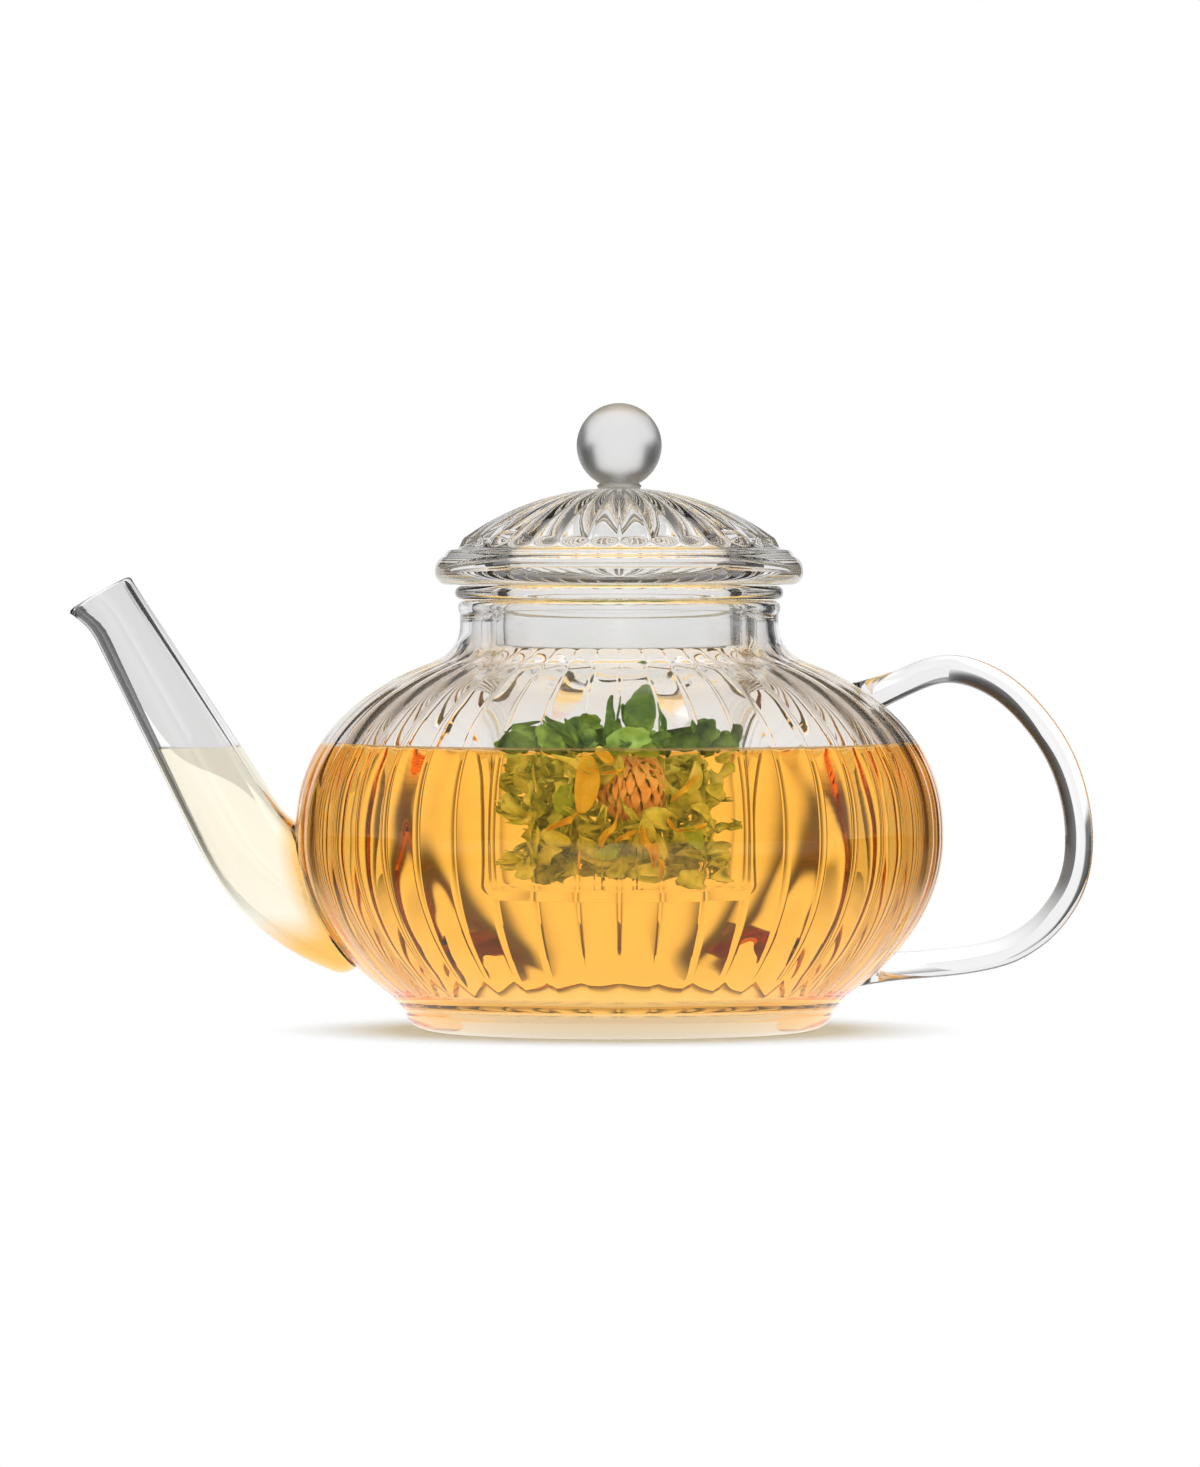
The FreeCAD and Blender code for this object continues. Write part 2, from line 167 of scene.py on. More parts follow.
class Shader:
    """A node tree that is written as expressions."""

    def __init__(self, tree: bpy.types.NodeTree) -> None:
        """Start from an empty tree."""
        self.tree = tree
        tree.nodes.clear()

    def node(
        self,
        kind: str,
        settings: dict[str, Any] | None = None,
        sockets: dict[str | int, Any] | None = None,
    ) -> Placed:
        """Add one node.

        Args:
            kind: The node's type.
            settings: Attributes of the node, set first. The key stops fills a colour ramp.
            sockets: Values or links of its inputs, by name or place.

        Returns:
            The placed node.
        """
        node = self.tree.nodes.new(kind)
        for key, value in (settings or {}).items():
            if key == "stops":
                self._fill_ramp(node.color_ramp, value)
            else:
                setattr(node, key, value)
        for key, value in (sockets or {}).items():
            if isinstance(value, Value):
                self.tree.links.new(value.socket, node.inputs[key])
            else:
                node.inputs[key].default_value = value
        return Placed(self, node)

    @staticmethod
    def _fill_ramp(ramp: bpy.types.ColorRamp, stops: Sequence[tuple[float, Colour]]) -> None:
        """Set a ramp's stops.

        Args:
            ramp: The colour ramp.
            stops: Places and colours, from left to right.
        """
        while len(ramp.elements) < len(stops):
            ramp.elements.new(1.0)
        for element, (place, colour) in zip(ramp.elements, stops):
            element.position = place
            element.color = (*colour, 1.0)

    def ramp(self, factor: Value, stops: Sequence[tuple[float, Colour]]) -> Value:
        """Colours along a factor."""
        return self.node("ShaderNodeValToRGB", {"stops": stops}, {"Fac": factor}).out("Color")

    def axes(self, coordinates: str = "Object") -> tuple[Value, Value, Value]:
        """The X, Y and Z parts of a texture coordinate.

        Args:
            coordinates: The Texture Coordinate node's output.

        Returns:
            The three parts.
        """
        place = self.node("ShaderNodeTexCoord").out(coordinates)
        parts = self.node("ShaderNodeSeparateXYZ", None, {0: place})
        return parts.out("X"), parts.out("Y"), parts.out("Z")

    def blend(self, share: Any, first: Value, second: Value) -> Value:
        """Two surfaces, mixed by the share of the second."""
        return self.node("ShaderNodeMixShader", None, {0: share, 1: first, 2: second}).out("Shader")

    def glow(self, strength: Any) -> Value:
        """White light of a strength."""
        return self.node("ShaderNodeEmission", None, {"Color": WHITE, "Strength": strength}).out("Emission")

    def clear(self) -> Value:
        """A surface that lets all light through."""
        return self.node("ShaderNodeBsdfTransparent").out("BSDF")

    def noise(self, scale: float, detail: float) -> Value:
        """Cloudy noise on the piece's own coordinates.

        Args:
            scale: Cells per metre.
            detail: Octaves of finer noise.

        Returns:
            The noise, from 0 to 1.
        """
        place = self.node("ShaderNodeTexCoord").out("Object")
        sockets = {"Vector": place, "Scale": scale, "Detail": detail}
        return self.node("ShaderNodeTexNoise", None, sockets).out(0)

    def bump(self, height: Value, strength: float, distance: float) -> Value:
        """Surface relief from a height.

        Args:
            height: The height field.
            strength: Share of the relief that shows.
            distance: Height of one unit, in metres.

        Returns:
            The bent normal.
        """
        sockets = {"Strength": strength, "Distance": distance, "Height": height}
        return self.node("ShaderNodeBump", None, sockets).out("Normal")

    def surface(self, skin: Value, volume: Value | None = None) -> None:
        """Send a shader to the material's surface, and one to its volume if it has any."""
        sockets = {"Surface": skin} if volume is None else {"Surface": skin, "Volume": volume}
        self.node("ShaderNodeOutputMaterial", None, sockets)

    def principled(self, sockets: dict[str | int, Any]) -> Value:
        """One Principled surface."""
        return self.node("ShaderNodeBsdfPrincipled", None, sockets).out("BSDF")


def new_shader(name: str) -> tuple[bpy.types.Material, Shader]:
    """Make an empty material.

    Args:
        name: The material's name.

    Returns:
        The material and its shader.
    """
    material = bpy.data.materials.new(name)
    material.use_nodes = True
    return material, Shader(material.node_tree)


@dataclass(frozen=True)
class ClearGlass:
    """Clear blown or pressed glass with the slow waves of hand work."""

    name: str
    wave_scale: float = 55.0
    wave_height: float = 0.12 * MM
    tint: Colour = (0.995, 0.995, 0.994)
    index: float = 1.5
    roughness: float = 0.0

    def material(self) -> bpy.types.Material:
        """Build the glass.

        Returns:
            The material.
        """
        material, shader = new_shader(self.name)
        waves = shader.noise(self.wave_scale, 1.0)
        sockets = {
            "Base Color": (*self.tint, 1.0),
            "Roughness": self.roughness,
            "IOR": self.index,
            "Transmission Weight": 1.0,
            "Normal": shader.bump(waves, 1.0, self.wave_height),
        }
        shader.surface(shader.principled(sockets))
        return material


class Glass(Enum):
    """The finishes of the pot's glass."""

    BLOWN = ClearGlass("blown_glass")
    DRAWN = ClearGlass("drawn_glass", wave_scale=80.0, wave_height=0.05 * MM)
    PRESSED = ClearGlass("pressed_glass", wave_scale=120.0, wave_height=0.05 * MM)
    THIN = ClearGlass("thin_glass", wave_scale=80.0, wave_height=0.05 * MM, index=1.3)
    SOFTENED = ClearGlass("softened_glass", wave_scale=120.0, wave_height=0.05 * MM, roughness=0.36)
    SUBMERGED = ClearGlass("submerged_glass", wave_scale=80.0, wave_height=0.05 * MM, index=1.025)


GlassSet = dict[Glass, bpy.types.Material]


@dataclass(frozen=True)
class BrewedTea:
    """Amber tea that darkens with depth, paler in the spout, at the foot and on its surface."""

    name: str = "brewed_tea"
    index: float = 1.02
    absorption: Colour = (0.984, 0.722, 0.01)
    density: float = 4.4
    amber: Colour = (1.0, 0.55, 0.105)
    pale: Colour = (0.99, 0.95, 0.82)
    belly: float = 72.5 * MM
    belly_mid: float = 45.4 * MM
    belly_rise: float = 49.0 * MM
    spout_start: float = 1.1
    spout_fade: float = 0.15
    foot: float = 8.5 * MM
    foot_fade: float = 6.0 * MM
    foot_share: float = 0.75
    heel: float = 20.0 * MM
    heel_fade: float = 7.0 * MM
    surface: float = 66.3 * MM
    surface_fade: float = 0.4 * MM

    def material(self) -> bpy.types.Material:
        """Build the tea.

        Returns:
            The material.
        """
        material, shader = new_shader(self.name)
        x, y, z = shader.axes()
        rise = (z - self.belly_mid) / self.belly_rise
        outside = (x * x + y * y) / self.belly ** 2 + rise * rise
        in_spout = ((outside - self.spout_start) / self.spout_fade).clamp()
        in_spout = in_spout * ((z - self.heel) / self.heel_fade).clamp()
        low = self.foot_share * ((self.foot - z) / self.foot_fade).clamp()
        top = (1.0 + (z - self.surface) / self.surface_fade).clamp()
        paleness = in_spout.most(low).most(top)
        sockets = {
            "Base Color": shader.ramp(paleness, ((0.0, self.amber), (1.0, self.pale))),
            "Roughness": 0.0,
            "IOR": self.index,
            "Transmission Weight": 1.0,
        }
        depth = {"Color": (*self.absorption, 1.0), "Density": self.density}
        volume = shader.node("ShaderNodeVolumeAbsorption", None, depth)
        shader.surface(shader.principled(sockets), volume.out("Volume"))
        return material


@dataclass(frozen=True)
class TeaFilm:
    """The surface of the tea: a mirror at a grazing view, with a painted brown shade of the waterline where
    it climbs the wall.
    """

    name: str = "tea_film"
    mirror: Colour = (0.95, 0.95, 0.95)
    # painted shade: the dark brown line of the waterline, given to the film's mirror near the wall
    waterline_shade: Colour = (0.26, 0.11, 0.02)
    roughness: float = 0.06
    share: float = 0.9
    grazing: float = 3.0
    ring: float = 62.0 * MM
    ring_fade: float = 5.0 * MM

    def material(self) -> bpy.types.Material:
        """Build the film.

        Returns:
            The material.
        """
        material, shader = new_shader(self.name)
        facing = shader.node("ShaderNodeLayerWeight", None, {"Blend": 0.5}).out("Facing")
        x, y, _ = shader.axes()
        # near the wall the mirror turns to the painted brown shade of the waterline
        near_wall = (((x * x + y * y) ** 0.5 - self.ring) / self.ring_fade).clamp()
        sockets = {
            "Base Color": shader.ramp(near_wall, ((0.0, self.mirror), (1.0, self.waterline_shade))),
            "Metallic": 1.0,
            "Roughness": self.roughness,
        }
        amount = self.share * facing ** self.grazing
        shader.surface(shader.blend(amount, shader.clear(), shader.principled(sockets)))
        return material


@dataclass(frozen=True)
class Botanical:
    """Leaf or petal tissue: mottled, finely wrinkled and lit a little from behind."""

    name: str
    dark: Colour
    middle: Colour
    light: Colour
    stops: Point3 = (0.32, 0.5, 0.7)
    roughness: float = 0.5
    roughness_spread: float = 0.2
    mottle_scale: float = 160.0
    fineness: float = 6.0
    fine_colour: float = 0.2
    fine_relief: float = 0.4
    wrinkle: float = 0.8
    wrinkle_height: float = 0.5 * MM
    glow_through: float = 0.4

    def material(self) -> bpy.types.Material:
        """Build the tissue.

        Returns:
            The material.
        """
        material, shader = new_shader(self.name)
        mottle = shader.noise(self.mottle_scale, 4.0)
        fine = shader.noise(self.mottle_scale * self.fineness, 3.0)
        tone = mottle * (1.0 - self.fine_colour) + fine * self.fine_colour
        colour = shader.ramp(tone, tuple(zip(self.stops, (self.dark, self.middle, self.light))))
        relief = mottle * (1.0 - self.fine_relief) + fine * self.fine_relief
        sockets = {
            "Base Color": colour,
            "Roughness": self.roughness + self.roughness_spread * fine,
            "Normal": shader.bump(relief, self.wrinkle, self.wrinkle_height),
        }
        front = shader.principled(sockets)
        through = shader.node("ShaderNodeBsdfTranslucent", None, {"Color": colour}).out("BSDF")
        shader.surface(shader.blend(self.glow_through, front, through))
        return material


class Tissue(Enum):
    """The leaves and petals of the brew."""

    FRESH_LEAF = Botanical(
        "fresh_leaf",
        dark=(0.022, 0.055, 0.004),
        middle=(0.12, 0.22, 0.015),
        light=(0.36, 0.52, 0.06),
        glow_through=0.2,
    )
    STEEPED_LEAF = Botanical(
        "steeped_leaf",
        dark=(0.20, 0.25, 0.05),
        middle=(0.68, 0.78, 0.22),
        light=(1.0, 1.0, 0.60),
        glow_through=0.1,
    )
    YOUNG_LEAF = Botanical(
        "young_leaf",
        dark=(0.24, 0.42, 0.05),
        middle=(0.45, 0.66, 0.12),
        light=(0.68, 0.82, 0.25),
    )
    GOLDEN_PETAL = Botanical(
        "golden_petal",
        dark=(0.86, 0.62, 0.06),
        middle=(0.95, 0.78, 0.12),
        light=(0.98, 0.88, 0.25),
        mottle_scale=320.0,
    )
    ORANGE_BRACT = Botanical(
        "orange_bract",
        dark=(0.98, 0.52, 0.26),
        middle=(1.0, 0.70, 0.42),
        light=(1.0, 0.86, 0.62),
        mottle_scale=420.0,
        glow_through=0.1,
    )


class Bench:
    """Modelling tools: each works with Blender's own operators on one new object."""

    @staticmethod
    def clear() -> None:
        """Leave edit mode and deselect everything."""
        if bpy.context.mode != "OBJECT":
            bpy.ops.object.mode_set(mode="OBJECT")
        bpy.ops.object.select_all(action="DESELECT")

    @staticmethod
    def only(piece: bpy.types.Object) -> None:
        """Make one piece the only selected and active object.

        Args:
            piece: The object to select.
        """
        Bench.clear()
        piece.select_set(True)
        bpy.context.view_layer.objects.active = piece

    @staticmethod
    def apply(piece: bpy.types.Object, kind: str, **settings: Any) -> None:
        """Add a modifier and apply it.

        Args:
            piece: The object to change.
            kind: The modifier's type.
            settings: The modifier's attributes.
        """
        Bench.only(piece)
        modifier = piece.modifiers.new(kind.title(), kind)
        for key, value in settings.items():
            setattr(modifier, key, value)
        bpy.ops.object.modifier_apply(modifier=modifier.name)

    @staticmethod
    def lathe(name: str, outline: Sequence[Point2], steps: int) -> bpy.types.Object:
        """Draw an outline vertex by vertex and turn it about the Z axis.

        Args:
            name: The piece's name.
            outline: Radii and heights in order.
            steps: Columns around the axis.

        Returns:
            The turned piece.
        """
        Bench.clear()
        bpy.ops.mesh.primitive_plane_add(size=MM)
        piece = bpy.context.object
        piece.name = name
        bpy.ops.object.mode_set(mode="EDIT")
        bpy.ops.mesh.select_all(action="SELECT")
        bpy.ops.mesh.merge(type="CENTER")
        bpy.ops.transform.translate(value=(outline[0][0], 0.0, outline[0][1]))
        for before, after in zip(outline[:-1], outline[1:]):
            step = (after[0] - before[0], 0.0, after[1] - before[1])
            bpy.ops.mesh.extrude_region_move(TRANSFORM_OT_translate={"value": step})
        bpy.ops.object.mode_set(mode="OBJECT")
        Bench.apply(
            piece,
            "SCREW",
            axis="Z",
            angle=math.tau,
            steps=steps,
            render_steps=steps,
            use_merge_vertices=True,
            merge_threshold=WELD,
        )
        Bench.close(piece)
        return piece

    @staticmethod
    def close(piece: bpy.types.Object) -> None:
        """Merge doubles, point the faces outwards and shade smooth.

        Args:
            piece: The object to close.
        """
        Bench.only(piece)
        bpy.ops.object.mode_set(mode="EDIT")
        bpy.ops.mesh.select_all(action="SELECT")
        bpy.ops.mesh.remove_doubles(threshold=WELD)
        bpy.ops.mesh.normals_make_consistent(inside=False)
        bpy.ops.object.mode_set(mode="OBJECT")
        bpy.ops.object.shade_smooth()

    @staticmethod
    def tube(name: str, stations: Sequence["Station"], columns: int) -> bpy.types.Object:
        """Extrude a ring from station to station in the XZ plane, with both ends capped.

        Args:
            name: The piece's name.
            stations: Ring centres, headings and radii in order.
            columns: Vertices around the ring.

        Returns:
            The closed tube.
        """
        Bench.clear()
        first = stations[0]
        bpy.ops.mesh.primitive_circle_add(vertices=columns, radius=1.0, fill_type="NGON")
        piece = bpy.context.object
        piece.name = name
        bpy.ops.object.mode_set(mode="EDIT")
        bpy.ops.mesh.select_all(action="SELECT")
        bpy.ops.transform.resize(value=(first.reach, first.width, 1.0), center_override=ORIGIN)
        turn = first.heading - math.pi / 2
        bpy.ops.transform.rotate(value=turn, orient_axis="Y", center_override=ORIGIN)
        bpy.ops.transform.translate(value=(first.x, 0.0, first.z))
        for before, after in zip(stations[:-1], stations[1:]):
            step = (after.x - before.x, 0.0, after.z - before.z)
            bpy.ops.mesh.extrude_region_move(TRANSFORM_OT_translate={"value": step})
            centre = (after.x, 0.0, after.z)
            back = math.pi / 2 - before.heading
            bpy.ops.transform.rotate(value=back, orient_axis="Y", center_override=centre)
            grow = (after.reach / before.reach, after.width / before.width, 1.0)
            bpy.ops.transform.resize(value=grow, center_override=centre)
            ahead = after.heading - math.pi / 2
            bpy.ops.transform.rotate(value=ahead, orient_axis="Y", center_override=centre)
        bpy.ops.object.mode_set(mode="OBJECT")
        Bench.close(piece)
        return piece

    @staticmethod
    def block(name: str, centre: Point3, size: Point3) -> bpy.types.Object:
        """A plain block for cutting.

        Args:
            name: The block's name.
            centre: Its middle.
            size: Its lengths along X, Y and Z.

        Returns:
            The block.
        """
        Bench.clear()
        bpy.ops.mesh.primitive_cube_add(size=1.0)
        piece = bpy.context.object
        piece.name = name
        bpy.ops.object.mode_set(mode="EDIT")
        bpy.ops.transform.resize(value=size, center_override=ORIGIN)
        bpy.ops.transform.translate(value=centre)
        bpy.ops.object.mode_set(mode="OBJECT")
        return piece

    @staticmethod
    def carve(piece: bpy.types.Object, tool: bpy.types.Object, operation: str = "DIFFERENCE") -> None:
        """Cut a piece with a tool, or join them, and leave the tool as it is.

        Args:
            piece: The object to change.
            tool: The closed object to cut or join with.
            operation: The boolean's operation.
        """
        Bench.apply(piece, "BOOLEAN", operation=operation, object=tool, solver="EXACT")
        bpy.ops.object.shade_smooth_by_angle(angle=SMOOTH_ANGLE)

    @staticmethod
    def discard(piece: bpy.types.Object) -> None:
        """Delete a tool that is no longer needed."""
        bpy.data.objects.remove(piece, do_unlink=True)

    @staticmethod
    def press(piece: bpy.types.Object, weight: Callable[[Vector], float], depth: float) -> None:
        """Push vertices along their normals by a weight.

        Args:
            piece: The object to change.
            weight: Share of the depth at a vertex, from 0 to 1.
            depth: Distance at weight 1, outwards when positive.
        """
        group = piece.vertex_groups.new(name="press")
        for vertex in piece.data.vertices:
            share = weight(vertex.co)
            if share > 0.0:
                group.add([vertex.index], share, "REPLACE")
        Bench.apply(piece, "DISPLACE", mid_level=0.0, strength=depth, vertex_group="press")
        piece.vertex_groups.clear()

    @staticmethod
    def copy(
        template: bpy.types.Object,
        place: Sequence[float],
        turn: Sequence[float],
        scale: float = 1.0,
    ) -> bpy.types.Object:
        """Copy a template, with a mesh of its own, to a place.

        Args:
            template: The piece to copy.
            place: Where the copy's middle goes.
            turn: Turns about X, Y and Z in degrees, in that order.
            scale: Size of the copy against the template.

        Returns:
            The copy, with its transform applied.
        """
        Bench.only(template)
        bpy.ops.object.duplicate(linked=False)
        piece = bpy.context.object
        piece.rotation_euler = [math.radians(angle) for angle in turn]
        piece.scale = (scale, scale, scale)
        piece.location = place
        bpy.ops.object.transform_apply(location=True, rotation=True, scale=True)
        return piece

    @staticmethod
    def join(name: str, pieces: Sequence[bpy.types.Object]) -> bpy.types.Object:
        """Join pieces into the first of them.

        Args:
            name: The joined piece's name.
            pieces: The objects to join.

        Returns:
            The joined piece.
        """
        Bench.only(pieces[0])
        for piece in pieces:
            piece.select_set(True)
        bpy.ops.object.join()
        pieces[0].name = name
        return pieces[0]

    @staticmethod
    def dress(piece: bpy.types.Object, material: bpy.types.Material) -> None:
        """Give a piece its one material."""
        piece.data.materials.clear()
        piece.data.materials.append(material)


@dataclass(frozen=True)
class Station:
    """One ring of a tube in the XZ plane."""

    x: float
    z: float
    heading: float
    reach: float
    width: float


def arc(centre: Point2, radii: Point2, start: float, end: float, count: int) -> list[Point2]:
    """Points of an ellipse's arc.

    Args:
        centre: The ellipse's centre.
        radii: Its half axes.
        start: First angle in degrees.
        end: Last angle in degrees.
        count: Number of steps.

    Returns:
        The points from the first angle to the last.
    """
    points = []
    for step in range(count + 1):
        angle = math.radians(start + (end - start) * step / count)
        points.append((centre[0] + radii[0] * math.cos(angle), centre[1] + radii[1] * math.sin(angle)))
    return points


def half_width(node: str) -> float:
    """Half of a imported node's width across the pot."""
    low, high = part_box(node)
    return 0.5 * (high[1] - low[1])


def settle(piece: bpy.types.Object, body: Body, slot: Slot | None, *nodes: str) -> None:
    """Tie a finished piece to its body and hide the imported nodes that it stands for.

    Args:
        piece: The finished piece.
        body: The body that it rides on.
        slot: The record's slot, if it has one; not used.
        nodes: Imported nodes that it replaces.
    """
    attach(piece, body.value)
    if nodes:
        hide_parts(*nodes)
    LOG.info("%s: %d faces on %s", piece.name, len(piece.data.polygons), body.value)


@dataclass
class PotBody:
    """Ribbed belly with a thick foot and a plain neck."""

    belly_mid: float = 45.4 * MM
    lower_rise: float = 52.2 * MM
    upper_rise: float = 47.5 * MM
    shoulder_power: float = 2.3
    foot_flat: float = 43.0 * MM
    foot_edge: float = 50.4 * MM
    foot_edge_z: float = 4.6 * MM
    waist_z: float = 8.6 * MM
    floor_z: float = 3.2 * MM
    floor_round: float = 5.5 * MM
    floor_reach: float = 8.8 * MM
    wall: float = 1.6 * MM
    neck: float = 37.4 * MM
    neck_fillet: float = 9.5 * MM
    neck_inside: float = 4.0 * MM
    bead: tuple[Point2, ...] = ((0.0, 3.4), (0.3, 2.7), (0.5, 1.7))
    lip_height: float = 1.3 * MM
    lip_swell: float = 0.4 * MM
    ribs: int = 48
    columns_per_rib: int = 8
    rib_depth: float = 0.95 * MM
    rib_front: float = 0.1
    rib_top: float = 90.0 * MM
    rib_fade: float = 5.0 * MM
    skin_top: float = 85.0 * MM
    skin_share: float = 0.6
    belly_steps: int = 30
    plug_columns: int = 192
    belly: float = field(init=False)
    neck_top: float = field(init=False)

    def __post_init__(self) -> None:
        """Take the overall sizes from the frame."""
        self.belly = half_width("pot_bowl")
        self.neck_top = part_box("pot_shoulder")[1][2]

    def lower(self, angle: float, inset: float) -> Point2:
        """A point of the lower belly, an ellipse."""
        radius = (self.belly - inset) * math.cos(angle)
        return radius, self.belly_mid - (self.lower_rise - inset) * math.sin(angle)

    def upper(self, angle: float, inset: float) -> Point2:
        """A point of the shoulder, a fuller ellipse.

        Args:
            angle: Angle above the widest place, in radians.
            inset: Distance inside the outer surface.

        Returns:
            Radius and height.
        """
        power = 2.0 / self.shoulder_power
        radius = (self.belly - inset) * math.cos(angle) ** power
        return radius, self.belly_mid + (self.upper_rise - inset) * math.sin(angle) ** power

    def shoulder_normal(self, angle: float, inset: float) -> Point2:
        """Outward direction of the shoulder outline.

        Args:
            angle: Angle above the widest place, in radians.
            inset: Distance inside the outer surface.

        Returns:
            The direction's parts, outwards and upwards.
        """
        before = self.upper(angle - 0.001, inset)
        after = self.upper(angle + 0.001, inset)
        along = (after[0] - before[0], after[1] - before[1])
        length = math.hypot(*along)
        return along[1] / length, -along[0] / length

    def neck_curve(self, inset: float) -> tuple[float, list[Point2]]:
        """The hollow curve between shoulder and neck.

        Args:
            inset: Distance inside the outer surface.

        Returns:
            The shoulder angle where it starts, and its points.
        """
        bend = self.neck_fillet + inset
        centre_r = self.neck - inset + bend
        low, high = 0.3, 1.5
        for _ in range(60):
            angle = 0.5 * (low + high)
            reach = self.upper(angle, inset)[0] + bend * self.shoulder_normal(angle, inset)[0]
            low, high = (angle, high) if reach > centre_r else (low, angle)
        normal = self.shoulder_normal(angle, inset)
        centre_z = self.upper(angle, inset)[1] + bend * normal[1]
        turn = math.degrees(math.atan2(normal[1], normal[0]))
        return angle, arc((centre_r, centre_z), (bend, bend), 180.0 + turn, 180.0, 10)

    def skin(self, inset: float, lowest: float, count: int) -> list[Point2]:
        """Outline from the lower belly up to the straight neck.

        Args:
            inset: Distance inside the outer surface.
            lowest: Height where the outline starts.
            count: Steps on each half of the belly.

        Returns:
            Radii and heights, from below upwards.
        """
        first = math.asin((self.belly_mid - lowest) / (self.lower_rise - inset))
        points = [self.lower(first * (1 - step / count), inset) for step in range(count)]
        end, neck = self.neck_curve(inset)
        points += [self.upper(end * step / count, inset) for step in range(count)]
        return points + neck

    def floor_corner(self, inset: float, floor: float, count: int) -> list[Point2]:
        """Rounded corner between the inner floor and the inner wall.

        Args:
            inset: Distance of the wall inside the outer surface.
            floor: Height of the floor.
            count: Steps along the corner.

        Returns:
            Points from the flat floor up to the wall.
        """
        top = floor + self.floor_round
        first = math.asin((self.belly_mid - top) / (self.lower_rise - inset))
        end = self.lower(first, inset)
        centre = (end[0] - self.floor_reach, top)
        return arc(centre, (self.floor_reach, self.floor_round), -90.0, -8.0, count)

    def outer(self) -> list[Point2]:
        """Outer outline from the centre of the foot to the rim.

        Returns:
            Radii and heights.
        """
        reach = self.foot_edge - self.foot_flat
        foot = arc((self.foot_flat, self.foot_edge_z), (reach, self.foot_edge_z), -90.0, 0.0, 8)
        rim = [(self.neck + out * MM, self.neck_top - down * MM) for out, down in self.bead]
        skin = self.skin(0.0, self.waist_z, self.belly_steps)
        return [(0.0, 0.0), (self.foot_flat * 0.5, 0.0)] + foot + skin + rim

    def inner(self, inset: float, floor: float) -> list[Point2]:
        """Inner outline from the centre of the floor up to the neck."""
        wall = self.floor_corner(inset, floor, 12) + self.skin(inset, floor + self.floor_round, 26)
        return [(0.0, floor), (self.foot_flat * 0.5, floor)] + wall

    def rib(self, place: Vector) -> float:
        """Share of the rib's depth that a valley loses at a place, only on the outer skin.

        Args:
            place: A vertex of the shell.

        Returns:
            The share, 0 on a ridge and off the ribs.
        """
        radius = math.hypot(place.x, place.y)
        upper = place.z > self.belly_mid
        rise, power = (self.upper_rise, self.shoulder_power) if upper else (self.lower_rise, 2.0)
        sine = abs(place.z - self.belly_mid) / rise
        skin = self.belly * max(0.0, 1.0 - sine ** power) ** (1.0 / power)
        if place.z < self.foot_edge_z or radius < self.neck * 0.99 or place.z > self.rib_top:
            return 0.0
        if place.z < self.skin_top and radius < skin - self.skin_share * self.wall:
            return 0.0
        foot = (place.z - self.foot_edge_z) / (2.0 * self.rib_fade)
        fade = min(1.0, foot, (self.rib_top - place.z) / self.rib_fade)
        back = 0.5 + 0.5 * math.sin(0.5 * math.pi * place.y / radius)
        fade *= self.rib_front + (1.0 - self.rib_front) * back
        across = (math.atan2(place.y, place.x) * self.ribs / math.tau) % 1.0
        return fade * (2.0 * across - 1.0) ** 2

    def build(self, bore: bpy.types.Object) -> bpy.types.Object:
        """Turn the shell, press the ribs and cut the spout's hole.

        Args:
            bore: The spout's cutting tool.

        Returns:
            The pot's body.
        """
        inset = self.wall + self.rib_depth
        half = 0.5 * inset
        middle = (self.neck - half, self.neck_top - self.lip_height)
        lip = arc(middle, (half + self.lip_swell, self.lip_height), 0.0, 180.0, 10)
        inner = self.inner(inset, self.floor_z)
        inner.append((self.neck - inset, self.neck_top - self.neck_inside))
        outline = self.outer() + lip + inner[::-1]
        piece = Bench.lathe("pot_body_glass", outline, self.ribs * self.columns_per_rib)
        Bench.press(piece, self.rib, -self.rib_depth)
        Bench.carve(piece, bore)
        return piece

    @staticmethod
    def dress(piece: bpy.types.Object, glass: GlassSet) -> None:
        """Give the shell its glass and tie it to the pot."""
        Bench.dress(piece, glass[Glass.BLOWN])
        settle(piece, Body.POT, Slot.POT, "pot_bowl", "pot_shoulder")

    def plug(self, inset: float) -> bpy.types.Object:
        """A plain solid of the belly, for trimming what is fused to it.

        Args:
            inset: Distance inside the outer surface.

        Returns:
            The trimming tool.
        """
        top = self.neck_top + 5.0 * MM
        skin = self.skin(inset, self.waist_z, self.belly_steps)
        outline = [(0.0, self.waist_z)] + skin + [(skin[-1][0], top), (0.0, top)]
        return Bench.lathe("belly_plug", outline, self.plug_columns)


